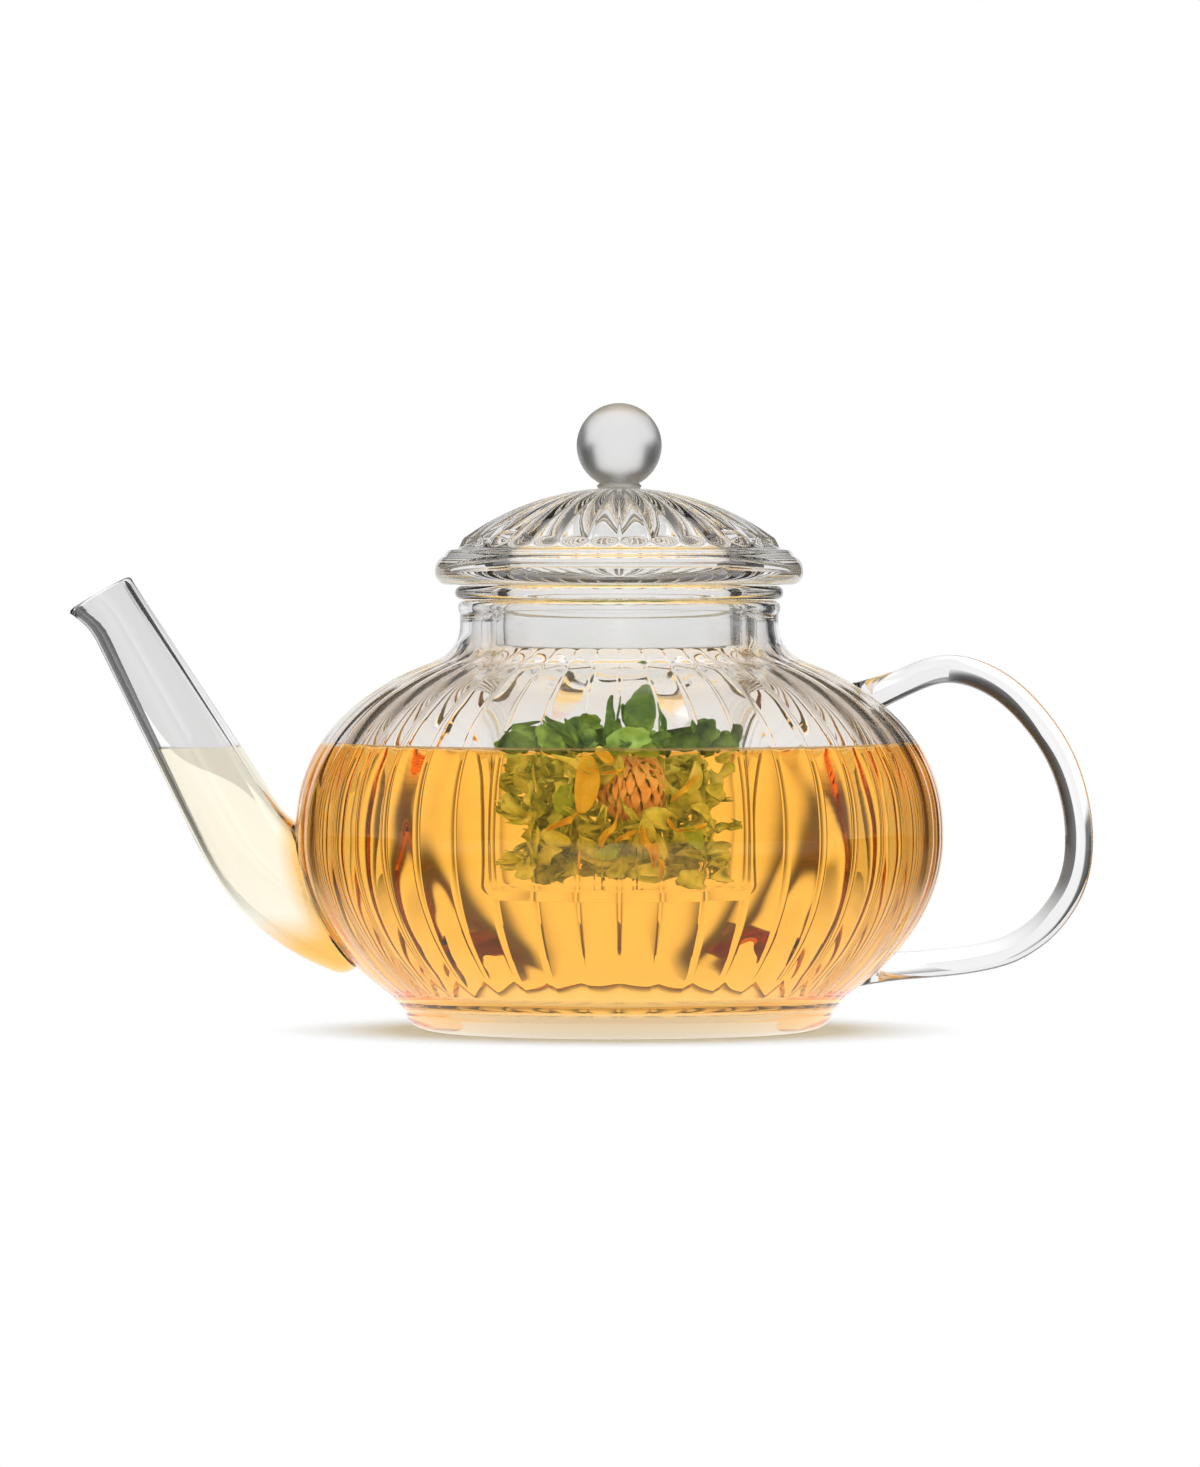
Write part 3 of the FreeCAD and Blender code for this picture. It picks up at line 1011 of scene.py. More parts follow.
@dataclass
class Spout:
    """Tapering tube that leans out and bends into the belly."""

    lean: float = 29.8
    straight: float = 63.6 * MM
    bend_radius: float = 45.0 * MM
    bend_angle: float = 43.5
    heel: float = 5.5 * MM
    mouth: float = 6.9 * MM
    mouth_x: float = -120.7 * MM
    mouth_z: float = 102.6 * MM
    at_bend: float = 10.9 * MM
    root: float = 13.6 * MM
    wall: float = 1.8 * MM
    lip_reach: float = 1.4 * MM
    lip_length: float = 8.75 * MM
    lip_lean: float = 0.9
    lip_rings: tuple[Point2, ...] = ((1.7, 0.75), (1.2, 0.85), (0.5, 0.65), (0.15, 0.35))
    spacing: float = 1.25
    rings: int = 36
    columns: int = 64

    @property
    def length(self) -> float:
        """Length of the centre line, from the mouth to the root."""
        return self.straight + self.bend_radius * math.radians(self.bend_angle)

    def station(self, travel: float, inset: float) -> Station:
        """The ring at a travel from the mouth.

        Args:
            travel: Distance along the centre line.
            inset: Distance inside the outer surface.

        Returns:
            The ring.
        """
        lean = math.radians(self.lean)
        heading = lean - math.pi / 2
        run = min(travel, self.straight)
        x = self.mouth_x + run * math.sin(lean)
        z = self.mouth_z - run * math.cos(lean)
        if travel > self.straight:
            turned = heading + (travel - self.straight) / self.bend_radius
            x += self.bend_radius * (math.sin(turned) - math.sin(heading))
            z -= self.bend_radius * (math.cos(turned) - math.cos(heading))
            heading = turned
            share = (travel - self.straight) / (self.length - self.straight)
            radius = self.at_bend + (self.root - self.at_bend) * share
        else:
            radius = self.mouth + (self.at_bend - self.mouth) * travel / self.straight
        pull = self.lip_reach * max(0.0, 1.0 - max(0.0, travel) / self.lip_length) ** 2
        x += math.sin(heading) * pull * self.lip_lean
        z -= math.cos(heading) * pull * self.lip_lean
        radius -= inset
        return Station(x, z, heading, radius + pull, radius)

    def stations(self, inset: float, start: float) -> list[Station]:
        """Rings from a start to the root, with its heel rounded off.

        Args:
            inset: Distance inside the outer surface.
            start: Travel of the first ring.

        Returns:
            The rings.
        """
        rings = []
        for step in range(self.rings + 1):
            travel = start + (self.length - start) * (step / self.rings) ** self.spacing
            rings.append(self.station(travel, inset))
        last = rings[-1]
        heel = self.heel - 0.5 * inset
        for ahead, drop in arc((0.0, 0.0), (1.0, 1.0), 80.0, 10.0, 7):
            x = last.x + heel * ahead * math.cos(last.heading)
            z = last.z + heel * ahead * math.sin(last.heading)
            radius = last.reach - heel * (1.0 - drop)
            rings.append(Station(x, z, last.heading, radius, radius))
        return rings

    def bore(self, start: float, inset: float) -> bpy.types.Object:
        """A solid of the hollow, for cutting or for the tea."""
        return Bench.tube("spout_bore", self.stations(inset, start), self.columns)

    def build(self, plug: bpy.types.Object, bore: bpy.types.Object) -> bpy.types.Object:
        """Draw the tube, hollow it and trim its root to the belly.

        Args:
            plug: The belly's trimming tool.
            bore: The hollow's cutting tool.

        Returns:
            The spout.
        """
        lip = []
        for inset, rise in self.lip_rings:
            ring = self.station(0.0, inset * MM)
            x = ring.x - rise * MM * math.cos(ring.heading)
            z = ring.z - rise * MM * math.sin(ring.heading)
            lip.append(replace(ring, x=x, z=z))
        piece = Bench.tube("spout_glass", lip + self.stations(0.0, 0.0), self.columns)
        Bench.carve(piece, bore)
        Bench.carve(piece, plug)
        return piece

    @staticmethod
    def dress(piece: bpy.types.Object, glass: GlassSet) -> None:
        """Give the tube its glass and tie it to the pot."""
        Bench.dress(piece, glass[Glass.BLOWN])
        settle(piece, Body.POT, Slot.POT, "spout")


@dataclass
class Handle:
    """One bent glass rod, fused to the belly at both ends."""

    rod: float = 3.3 * MM
    gather: float = 4.4 * MM
    gather_length: float = 12.0 * MM
    out_x: float = 108.0 * MM
    top_z: float = 84.8 * MM
    low_z: float = 15.8 * MM
    steps: int = 96
    columns: int = 40

    def route(self) -> list[Point2]:
        """Control points of the rod's centre line, from the upper root to the lower.

        Returns:
            Distances along X and heights.
        """
        top, low, out = self.top_z, self.low_z, self.out_x
        return [
            (out - 52.0 * MM, top - 7.4 * MM),
            (out - 44.0 * MM, top - 4.4 * MM),
            (out - 34.4 * MM, top + 0.0 * MM),
            (out - 27.9 * MM, top + 0.2 * MM),
            (out - 20.8 * MM, top - 2.3 * MM),
            (out - 13.8 * MM, top - 7.3 * MM),
            (out - 6.3 * MM, top - 16.5 * MM),
            (out - 1.9 * MM, top - 25.8 * MM),
            (out + 0.5 * MM, low + 31.2 * MM),
            (out - 0.6 * MM, low + 19.2 * MM),
            (out - 6.5 * MM, low + 9.6 * MM),
            (out - 13.8 * MM, low + 4.0 * MM),
            (out - 20.8 * MM, low + 1.5 * MM),
            (out - 33.0 * MM, low - 0.3 * MM),
            (out - 53.0 * MM, low - 1.4 * MM),
        ]

    def centre_line(self) -> list[Point2]:
        """Points of a smooth curve along the route, through the middles of its runs.

        Returns:
            Distances along X and heights.
        """
        route = self.route()
        middles = [((a[0] + b[0]) / 2, (a[1] + b[1]) / 2) for a, b in zip(route[:-1], route[1:])]
        starts = [route[0]] + middles[1:-1]
        ends = middles[1:-1] + [route[-1]]
        points = []
        spans = list(zip(starts, route[1:-1], ends))
        for step in range(self.steps + 1):
            place = min(step / self.steps * len(spans), len(spans) - 1e-6)
            index = int(place)
            share = place - index
            start, corner, end = spans[index]
            keep = (1 - share) ** 2, 2 * share * (1 - share), share ** 2
            axes = zip(start, corner, end)
            points.append(tuple(keep[0] * a + keep[1] * b + keep[2] * c for a, b, c in axes))
        return points

    def build(self, plug: bpy.types.Object) -> bpy.types.Object:
        """Draw the rod with thicker roots and trim it to the belly.

        Args:
            plug: The belly's trimming tool.

        Returns:
            The handle.
        """
        line = self.centre_line()
        lengths = [0.0]
        for before, after in zip(line[:-1], line[1:]):
            lengths.append(lengths[-1] + math.dist(before, after))
        stations = []
        heading = 0.0
        for index, (x, z) in enumerate(line):
            before = line[max(index - 1, 0)]
            after = line[min(index + 1, len(line) - 1)]
            slope = math.atan2(after[1] - before[1], after[0] - before[0])
            heading += math.remainder(slope - heading, math.tau)
            end = min(lengths[index], lengths[-1] - lengths[index])
            swell = max(0.0, 1.0 - end / self.gather_length) ** 1.5
            radius = self.rod + (self.gather - self.rod) * swell
            stations.append(Station(x, z, heading, radius, radius))
        piece = Bench.tube("handle_glass", stations, self.columns)
        Bench.carve(piece, plug)
        return piece

    @staticmethod
    def dress(piece: bpy.types.Object, glass: GlassSet) -> None:
        """Give the rod its glass and tie it to the pot."""
        Bench.dress(piece, glass[Glass.DRAWN])
        settle(piece, Body.POT, Slot.POT, "handle")


@dataclass
class Infuser:
    """Slitted glass cup, hung in the neck by a round-edged flange."""

    wall: float = 2.2 * MM
    radius: float = 32.5 * MM
    corner: float = 3.0 * MM
    floor_corner: float = 2.0 * MM
    flange_thickness: float = 3.2 * MM
    fillet: float = 1.5 * MM
    slit_width: float = 1.2 * MM
    slit_length: float = 9.5 * MM
    slit_pitch: float = 4.9 * MM
    slit_rise: float = 0.8 * MM
    groups: int = 4
    slits_per_group: int = 3
    columns: int = 256
    wet: float = 65.0 * MM
    bottom: float = field(init=False)
    top: float = field(init=False)
    flange: float = field(init=False)

    def __post_init__(self) -> None:
        """Take the overall sizes from the frame."""
        low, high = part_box("infuser")
        self.bottom, self.top = low[2], high[2]
        self.flange = half_width("infuser")

    @property
    def inner(self) -> float:
        """Radius of the cup's inside."""
        return self.radius - self.wall

    @property
    def floor(self) -> float:
        """Height of the cup's inner floor."""
        return self.bottom + self.wall

    def outline(self) -> list[Point2]:
        """Outline of the cup from the centre of its bottom, over the flange, to its inner floor.

        Returns:
            Radii and heights.
        """
        edge = 0.5 * self.flange_thickness
        corner, inside, fillet = self.corner, self.floor_corner, self.fillet
        under = self.top - self.flange_thickness
        points = [(0.0, self.bottom), (self.radius * 0.5, self.bottom)]
        points += arc((self.radius - corner, self.bottom + corner), (corner, corner), -90.0, 0.0, 8)
        points += [(self.radius, self.wet)]
        points += arc((self.radius + fillet, under - fillet), (fillet, fillet), 180.0, 90.0, 6)
        points += arc((self.flange - edge, self.top - edge), (edge, edge), -90.0, 90.0, 12)
        points += arc((self.inner + fillet, self.top - fillet), (fillet, fillet), 90.0, 180.0, 6)
        points += [(self.inner, self.wet)]
        points += arc((self.inner - inside, self.floor + inside), (inside, inside), 0.0, -90.0, 6)
        return points + [(self.radius * 0.5, self.floor), (0.0, self.floor)]

    def build(self) -> bpy.types.Object:
        """Turn the cup and saw its slits.

        Returns:
            The infuser.
        """
        piece = Bench.lathe("infuser_glass_cup", self.outline(), self.columns)
        height = self.floor + self.slit_rise + 0.5 * self.slit_length
        place = (self.radius - 0.5 * self.wall, 0.0, height)
        blade = Bench.block("slit_blade", place, (3.0 * self.wall, self.slit_width, self.slit_length))
        saws = []
        middle = (self.slits_per_group - 1) / 2
        for group in range(self.groups):
            for index in range(self.slits_per_group):
                angle = math.tau * group / self.groups - math.pi / 2
                angle += (index - middle) * self.slit_pitch / self.radius
                saws.append(Bench.copy(blade, ORIGIN, (0.0, 0.0, math.degrees(angle))))
        saw = Bench.join("slit_saw", saws)
        Bench.carve(piece, saw)
        Bench.discard(saw)
        Bench.discard(blade)
        return piece

    def dress(self, piece: bpy.types.Object, glass: GlassSet) -> None:
        """Give the cup its glass, one finish in air and one under the tea, and tie it to its body.

        Args:
            piece: The cup.
            glass: The glass finishes.
        """
        Bench.dress(piece, glass[Glass.THIN])
        piece.data.materials.append(glass[Glass.SUBMERGED])
        for face in piece.data.polygons:
            face.material_index = 1 if face.center.z < self.wet else 0
        settle(piece, Body.INFUSER, Slot.INFUSER, "infuser")


@dataclass
class Lid:
    """Pressed dome with petals, a skirt under it and a ball knob on it."""

    rim_height: float = 7.0 * MM
    step: float = 1.2 * MM
    dome_edge: float = 40.2 * MM
    wall: float = 4.2 * MM
    petals: int = 32
    columns_per_petal: int = 12
    petal_depth: float = 1.1 * MM
    petal_end: float = 0.05
    petal_round: float = 0.09
    petal_edge: float = 0.05
    petal_run_out: float = 0.03
    petal_root: float = 0.4
    bulge: float = 3.0 * MM
    bulge_z: float = 3.1 * MM
    hollow_round: float = 0.8 * MM
    collar: float = 5.2 * MM
    collar_flat: float = 0.8 * MM
    collar_height: float = 0.8 * MM
    waist: float = 0.88
    waist_height: float = 1.3 * MM
    waist_top: float = 0.8
    knob_columns: int = 128
    skirt_wall: float = 2.1 * MM
    skirt_end: float = 1.2 * MM
    skirt_straight: float = 6.0 * MM
    skirt_columns: int = 256
    bevel: float = 0.4 * MM
    bevel_mid: float = 0.1 * MM
    seam: float = 0.03 * MM
    rim: float = field(init=False)
    base: float = field(init=False)
    top: float = field(init=False)
    skirt: float = field(init=False)
    skirt_low: float = field(init=False)
    knob: float = field(init=False)
    knob_top: float = field(init=False)

    def __post_init__(self) -> None:
        """Take the overall sizes from the frame."""
        low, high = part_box("lid_dome")
        self.base, self.top = low[2], high[2]
        self.skirt_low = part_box("lid_skirt")[0][2]
        self.knob_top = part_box("knob")[1][2]
        self.rim, self.skirt, self.knob = map(half_width, ("lid_dome", "lid_skirt", "knob"))

    @property
    def flat(self) -> float:
        """Radius of the flat under the knob."""
        return self.collar + self.collar_flat

    @property
    def dome_low(self) -> float:
        """Height of the dome's edge."""
        return self.base + self.rim_height + self.step

    def dome_curve(self, count: int) -> list[Point2]:
        """Outline of the dome from its edge to the flat under the knob.

        Args:
            count: Number of steps.

        Returns:
            Radii and heights on the spherical cap.
        """
        flat, low = self.flat, self.dome_low
        rise = self.top - low
        centre = (self.top ** 2 - low ** 2 - self.dome_edge ** 2 + flat ** 2) / (2 * rise)
        ball = math.hypot(flat, self.top - centre)
        start = math.degrees(math.atan2(low - centre, self.dome_edge))
        end = math.degrees(math.atan2(self.top - centre, flat))
        return arc((0.0, centre), (ball, ball), start, end, count)

    def petal(self, place: Vector) -> float:
        """Share of the petal's depth that a valley loses at a place, only on the dome's outside.

        Args:
            place: A vertex of the dome.

        Returns:
            The share, 0 on a ridge and off the petals.
        """
        radius = math.hypot(place.x, place.y)
        flat, low = self.flat, self.dome_low
        if radius < flat or place.z < low - 0.1 * MM or radius > self.dome_edge:
            return 0.0
        share = (self.dome_edge - radius) / (self.dome_edge - flat)
        ceiling = self.top - self.wall * 0.5 - (self.top - low) * (radius / self.dome_edge) ** 2
        if place.z < ceiling:
            return 0.0
        across = (math.atan2(place.y, place.x) * self.petals / math.tau) % 1.0
        valley = (2.0 * across - 1.0) ** 2
        end = self.petal_end + self.petal_round * (1.0 - (1.0 - valley) ** 0.5)
        outside = min(1.0, max(0.0, (end + self.petal_edge - share) / self.petal_edge))
        near_rim = min(1.0, share / self.petal_run_out)
        return near_rim * min(1.0, (1.0 - share) / self.petal_root) * max(valley, outside)

    def build_dome(self) -> bpy.types.Object:
        """Turn the dome and press its petals.

        Returns:
            The dome.
        """
        rim, base = self.rim, self.base
        hollow = self.skirt - self.skirt_wall
        middle = (rim - self.bulge, base + self.bulge_z)
        band = arc(middle, (self.bulge, self.bulge_z), -90.0, 0.0, 12)
        band += arc(middle, (self.bulge, self.rim_height - self.bulge_z), 6.0, 72.0, 12)
        band += [(self.dome_edge + 0.4 * MM, base + self.rim_height + 0.5 * self.step)]
        dome = self.dome_curve(64)
        roof = self.top - self.wall
        inside = arc((0.0, base), (hollow, roof - base), 90.0, 4.0, 40)
        bend = self.hollow_round
        inside += arc((hollow + bend, base + bend), (bend, bend), 180.0, 270.0, 5)
        outline = inside + band + dome + [(0.0, self.top)]
        piece = Bench.lathe("lid_dome_glass", outline, self.petals * self.columns_per_petal)
        Bench.press(piece, self.petal, -self.petal_depth)
        bpy.ops.object.shade_smooth()
        return piece

    def build_skirt(self) -> bpy.types.Object:
        """Turn the ring under the dome.

        Returns:
            The skirt.
        """
        outer, inner = self.skirt, self.skirt - self.skirt_wall
        half = 0.5 * self.skirt_wall
        top = self.base - self.seam
        low = self.skirt_low
        points = arc((inner + half, low + self.skirt_end), (half, self.skirt_end), 0.0, -180.0, 12)
        straight, bevel, mid = low + self.skirt_straight, self.bevel, self.bevel_mid
        points += [(inner, straight), (inner, top - bevel), (inner + mid, top - mid), (inner + bevel, top)]
        points += [(outer - bevel, top), (outer - mid, top - mid), (outer, top - bevel), (outer, straight)]
        return Bench.lathe("lid_skirt_glass", points + points[:1], self.skirt_columns)

    def build_knob(self) -> bpy.types.Object:
        """Turn the ball on its collar.

        Returns:
            The knob.
        """
        centre = self.knob_top - self.knob
        foot = self.top + self.seam
        drop = math.degrees(math.acos(min(1.0, self.collar * self.waist_top / self.knob)))
        points = [(0.0, foot), (self.collar - self.bevel, foot), (self.collar, foot + self.bevel)]
        points += [(self.collar, foot + self.collar_height)]
        points += [(self.collar * self.waist, foot + self.waist_height)]
        points += arc((0.0, centre), (self.knob, self.knob), -drop, 90.0, 40)
        return Bench.lathe("knob_glass", points, self.knob_columns)

    def build(self) -> list[bpy.types.Object]:
        """The lid's dome, skirt and knob, in that order."""
        return [self.build_dome(), self.build_skirt(), self.build_knob()]

    @staticmethod
    def dress(pieces: Sequence[bpy.types.Object], glass: GlassSet) -> None:
        """Give the dome, skirt and knob their glass and tie them to the lid.

        Args:
            pieces: The dome, skirt and knob, in that order.
            glass: The glass finishes.
        """
        finishes = (("lid_dome", Glass.PRESSED), ("lid_skirt", Glass.THIN), ("knob", Glass.SOFTENED))
        for piece, (node, finish) in zip(pieces, finishes):
            Bench.dress(piece, glass[finish])
            settle(piece, Body.LID, Slot.LID, node)


@dataclass
class Tea:
    """Brewed tea that fills the pot and stands as high in the spout."""

    level: float = 66.3 * MM
    overlap: float = 0.05 * MM
    meniscus: float = 0.56 * MM
    meniscus_width: float = 0.8 * MM
    spout_start: float = 10.0 * MM
    headroom: float = 0.2
    columns: int = 256
    film_gap: float = 0.02 * MM
    film_tilt: float = 0.4
    film_depth: float = 0.2 * MM

    def build(self, body: PotBody, spout: Spout) -> bpy.types.Object:
        """Fill the pot and the spout to one level.

        Args:
            body: The pot's body.
            spout: The spout.

        Returns:
            The tea.
        """
        inset = body.wall + body.rib_depth - self.overlap
        floor = body.floor_z - self.overlap
        wall = [point for point in body.inner(inset, floor) if point[1] < self.level]
        rise = (self.level - body.belly_mid) / (body.upper_rise - inset)
        power = body.shoulder_power
        edge = (body.belly - inset) * (1 - rise ** power) ** (1 / power)
        surface = [(edge, self.level + self.meniscus), (edge - self.meniscus_width, self.level)]
        piece = Bench.lathe("brewed_tea", wall + surface + [(0.0, self.level)], self.columns)
        arm = spout.bore(self.spout_start, spout.wall - self.overlap)
        middle = (0.0, 0.0, self.level + 0.5 * self.headroom)
        above = Bench.block("above_tea", middle, (1.0, 1.0, self.headroom))
        Bench.carve(arm, above)
        Bench.carve(piece, arm, "UNION")
        Bench.discard(above)
        Bench.discard(arm)
        return piece

    def film(self, tea: bpy.types.Object) -> bpy.types.Object:
        """Lift a copy of the tea's surface off it, as a mirror whose painted brown shade shows the
        waterline from the side.

        Args:
            tea: The finished tea.

        Returns:
            The film.
        """
        piece = Bench.copy(tea, (0.0, 0.0, self.film_gap), ORIGIN)
        piece.name = "tea_film"
        bpy.ops.object.mode_set(mode="EDIT")
        bpy.ops.mesh.select_mode(type="FACE")
        bpy.ops.mesh.select_all(action="DESELECT")
        bpy.ops.object.mode_set(mode="OBJECT")
        for face in piece.data.polygons:
            sunk = face.center.z < self.level - self.film_depth
            face.select = sunk or face.normal.z < self.film_tilt
        bpy.ops.object.mode_set(mode="EDIT")
        bpy.ops.mesh.delete(type="FACE")
        bpy.ops.mesh.select_mode(type="VERT")
        bpy.ops.object.mode_set(mode="OBJECT")
        Bench.apply(piece, "SOLIDIFY", thickness=self.film_gap, offset=1.0)
        return piece

    def dress(self, piece: bpy.types.Object) -> None:
        """Lift the film off the tea, and give both their finish and their body.

        Args:
            piece: The finished tea.
        """
        film = self.film(piece)
        for part, finish in ((piece, BrewedTea()), (film, TeaFilm())):
            Bench.dress(part, finish.material())
            settle(part, Body.POT, None)


@dataclass(frozen=True)
class LeafKind:
    """Proportions of one kind of leaf or petal, modelled once and then copied."""

    length: float
    width: float
    curl: float = 60.0
    twist: float = 20.0
    cup: float = 0.15
    blunt: float = 0.6
    tip: float = 0.08
    margin: float = 0.04
    ragged: float = 0.25 * MM
    thickness: float = 0.2 * MM
    seed: int = 1
    columns: int = 6
    rows: int = 14
    smooth: int = 1

    def narrowing(self, share: float) -> float:
        """Width at a share of the length, from stalk to tip."""
        across = self.margin + (1.0 - 2.0 * self.margin) * share
        return max(self.tip, math.sin(math.pi * across)) ** self.blunt

    def edge(self, place: Vector) -> float:
        """How far a place lies from the leaf's rib, squared."""
        return min(1.0, (2.0 * place.x / self.width) ** 2)

    def template(self) -> bpy.types.Object:
        """Shape one leaf flat, then cup, curl, twist and thicken it.

        Returns:
            The template, with its length along Y.
        """
        Bench.clear()
        bpy.ops.mesh.primitive_grid_add(x_subdivisions=self.columns, y_subdivisions=self.rows, size=1.0)
        piece = bpy.context.object
        bpy.ops.object.mode_set(mode="EDIT")
        bpy.ops.transform.resize(value=(self.width, self.length, 1.0), center_override=ORIGIN)
        for row in range(self.rows + 1):
            bpy.ops.mesh.select_all(action="DESELECT")
            bpy.ops.object.mode_set(mode="OBJECT")
            height = self.length * (row / self.rows - 0.5)
            for vertex in piece.data.vertices:
                vertex.select = abs(vertex.co.y - height) < 0.25 * self.length / self.rows
            bpy.ops.object.mode_set(mode="EDIT")
            narrow = (self.narrowing(row / self.rows), 1.0, 1.0)
            bpy.ops.transform.resize(value=narrow, center_override=ORIGIN)
        bpy.ops.mesh.select_all(action="SELECT")
        bpy.ops.transform.vertex_random(offset=self.ragged, seed=self.seed)
        bpy.ops.object.mode_set(mode="OBJECT")
        Bench.press(piece, self.edge, self.cup * self.width)
        curl = math.radians(self.curl)
        Bench.apply(piece, "SIMPLE_DEFORM", deform_method="BEND", deform_axis="X", angle=curl)
        twist = math.radians(self.twist)
        Bench.apply(piece, "SIMPLE_DEFORM", deform_method="TWIST", deform_axis="Y", angle=twist)
        Bench.apply(piece, "SOLIDIFY", thickness=self.thickness, offset=0.0)
        if self.smooth:
            Bench.apply(piece, "SUBSURF", levels=self.smooth, render_levels=self.smooth)
        bpy.ops.object.shade_smooth()
        return piece


@dataclass(frozen=True)
class Sprig:
    """One leaf in its given place: its kind, middle in millimetres, lean and yaw in degrees, and size."""

    kind: str
    x: float
    y: float
    z: float
    lean: float
    yaw: float = 0.0
    scale: float = 1.0

    def copy(self, templates: dict[str, bpy.types.Object]) -> bpy.types.Object:
        """Copy the leaf's template to its place, upright and facing the front before it leans."""
        place = Vector((self.x, self.y, self.z)) * MM
        return Bench.copy(templates[self.kind], place, (90.0, self.lean, self.yaw), self.scale)


@dataclass
class Brew:
    """Tea leaves and a flower, steeping in the infuser."""

    fill_count: int = 420
    fill_radius: float = 26.3 * MM
    fill_low: float = 36.0 * MM
    fill_flat: float = 42.0 * MM
    fill_high: float = 63.5 * MM
    surface: float = 66.3 * MM
    fill_kinds: tuple[str, ...] = ("broad", "torn", "folded", "curled", "needle", "curled", "strip", "torn")
    flat_spin: float = 25.0
    strewn_count: int = 48
    strewn_kinds: tuple[str, ...] = ("torn", "needle", "folded", "curled", "broad")
    strewn_step: float = 0.382
    seed: int = 11
    bracts: int = 90
    bract_sizes: Point3 = (0.9, 1.0, 1.1)
    flower_centre: Point3 = (3.0, -17.0, 57.0)
    flower_radius: float = 7.0 * MM

    @staticmethod
    def kinds() -> dict[str, LeafKind]:
        """The kinds of leaf and petal, by name.

        Returns:
            The proportions of each kind.
        """
        return {
            "broad": LeafKind(
                10.5 * MM, 5.6 * MM, curl=55.0, twist=25.0, cup=0.16, ragged=0.34 * MM, seed=3),
            "torn": LeafKind(
                8.0 * MM, 5.0 * MM, curl=-70.0, twist=-40.0, cup=0.22, blunt=0.35,
                ragged=0.45 * MM, seed=8),
            "folded": LeafKind(
                10.0 * MM, 5.2 * MM, curl=35.0, twist=20.0, cup=0.45, ragged=0.2 * MM, seed=5),
            "needle": LeafKind(
                12.0 * MM, 1.9 * MM, curl=25.0, twist=70.0, cup=0.4, ragged=0.12 * MM, seed=2, columns=4),
            "curled": LeafKind(
                11.0 * MM, 3.2 * MM, curl=150.0, twist=50.0, cup=0.3, ragged=0.2 * MM, seed=6, columns=4),
            "petal": LeafKind(
                13.5 * MM, 6.2 * MM, curl=25.0, twist=12.0, cup=0.12, blunt=0.5, ragged=0.1 * MM, seed=4),
            "strip": LeafKind(
                10.0 * MM, 1.7 * MM, curl=110.0, twist=40.0, cup=0.2, ragged=0.1 * MM, seed=9, columns=4),
            "bract": LeafKind(
                6.0 * MM, 2.0 * MM, curl=85.0, twist=10.0, cup=0.25, ragged=0.1 * MM, seed=7,
                columns=4, rows=8),
        }

    @staticmethod
    def floating() -> list[Sprig]:
        """Leaves that stand out of the tea.

        Returns:
            The leaves and their places.
        """
        return [
            Sprig("folded", -25.0, -13.0, 67.8, 88.0, 25.0, 1.1),
            Sprig("needle", -22.4, -14.0, 72.0, 65.0, 10.0, 0.62),
            Sprig("torn", -21.5, -10.0, 70.2, 70.0, -30.0, 0.8),
            Sprig("broad", -16.0, -21.0, 68.6, -40.0, 10.0, 0.95),
            Sprig("needle", -12.0, -22.0, 71.0, -57.0, -8.0, 1.1),
            Sprig("needle", -13.4, -21.0, 70.0, -52.0, 12.0, 1.0),
            Sprig("needle", -10.6, -23.5, 69.8, -24.0, 0.0, 0.75),
            Sprig("torn", -8.4, -15.0, 72.3, 82.0, 15.0, 1.1),
            Sprig("folded", -5.6, -14.0, 70.0, -60.0, 30.0, 0.8),
            Sprig("needle", -2.9, -19.0, 73.4, 6.0, 20.0, 1.0),
            Sprig("needle", -0.3, -16.0, 75.6, 14.0, -15.0, 0.62),
            Sprig("broad", 5.4, -15.0, 75.4, 3.0, -12.0, 1.18),
            Sprig("torn", 2.0, -12.0, 75.2, -20.0, 15.0, 0.6),
            Sprig("needle", 10.8, -16.0, 73.2, -14.0, 0.0, 0.8),
            Sprig("needle", 9.2, -17.0, 71.0, 12.0, 30.0, 0.7),
            Sprig("broad", 8.6, -21.0, 68.0, -48.0, -20.0, 0.8),
            Sprig("broad", 14.6, -18.0, 68.2, 82.0, 12.0, 0.85),
            Sprig("torn", 19.4, -16.0, 69.8, 15.0, 10.0, 1.05),
            Sprig("broad", 18.2, -10.0, 70.0, -35.0, 30.0, 0.8),
            Sprig("torn", 23.8, -13.0, 68.4, -65.0, -10.0, 0.85),
            Sprig("folded", 27.2, -8.0, 69.4, 8.0, -20.0, 0.75),
            Sprig("broad", -19.0, 6.0, 68.5, 80.0, 160.0, 1.0),
            Sprig("torn", 0.0, 10.0, 70.0, 20.0, 190.0, 1.1),
            Sprig("broad", 12.0, 12.0, 68.8, -60.0, 200.0, 1.0),
            Sprig("folded", -10.0, 16.0, 68.0, 75.0, 170.0, 1.1),
        ]

    @staticmethod
    def crown() -> list[Sprig]:
        """Young pale leaves that fold over the flower.

        Returns:
            The leaves and their places.
        """
        return [
            Sprig("torn", 1.6, -23.0, 68.6, 78.0, 8.0, 1.25),
            Sprig("broad", 4.6, -22.0, 67.2, -62.0, -10.0, 0.85),
            Sprig("folded", -1.8, -22.0, 66.8, 60.0, 15.0, 0.75),
            Sprig("torn", -12.6, -24.0, 54.6, 10.0, -10.0, 0.9),
            Sprig("broad", 16.8, -22.5, 45.8, -28.0, 14.0, 0.62),
            Sprig("torn", -2.6, -26.0, 42.5, 60.0, 0.0, 0.7),
        ]

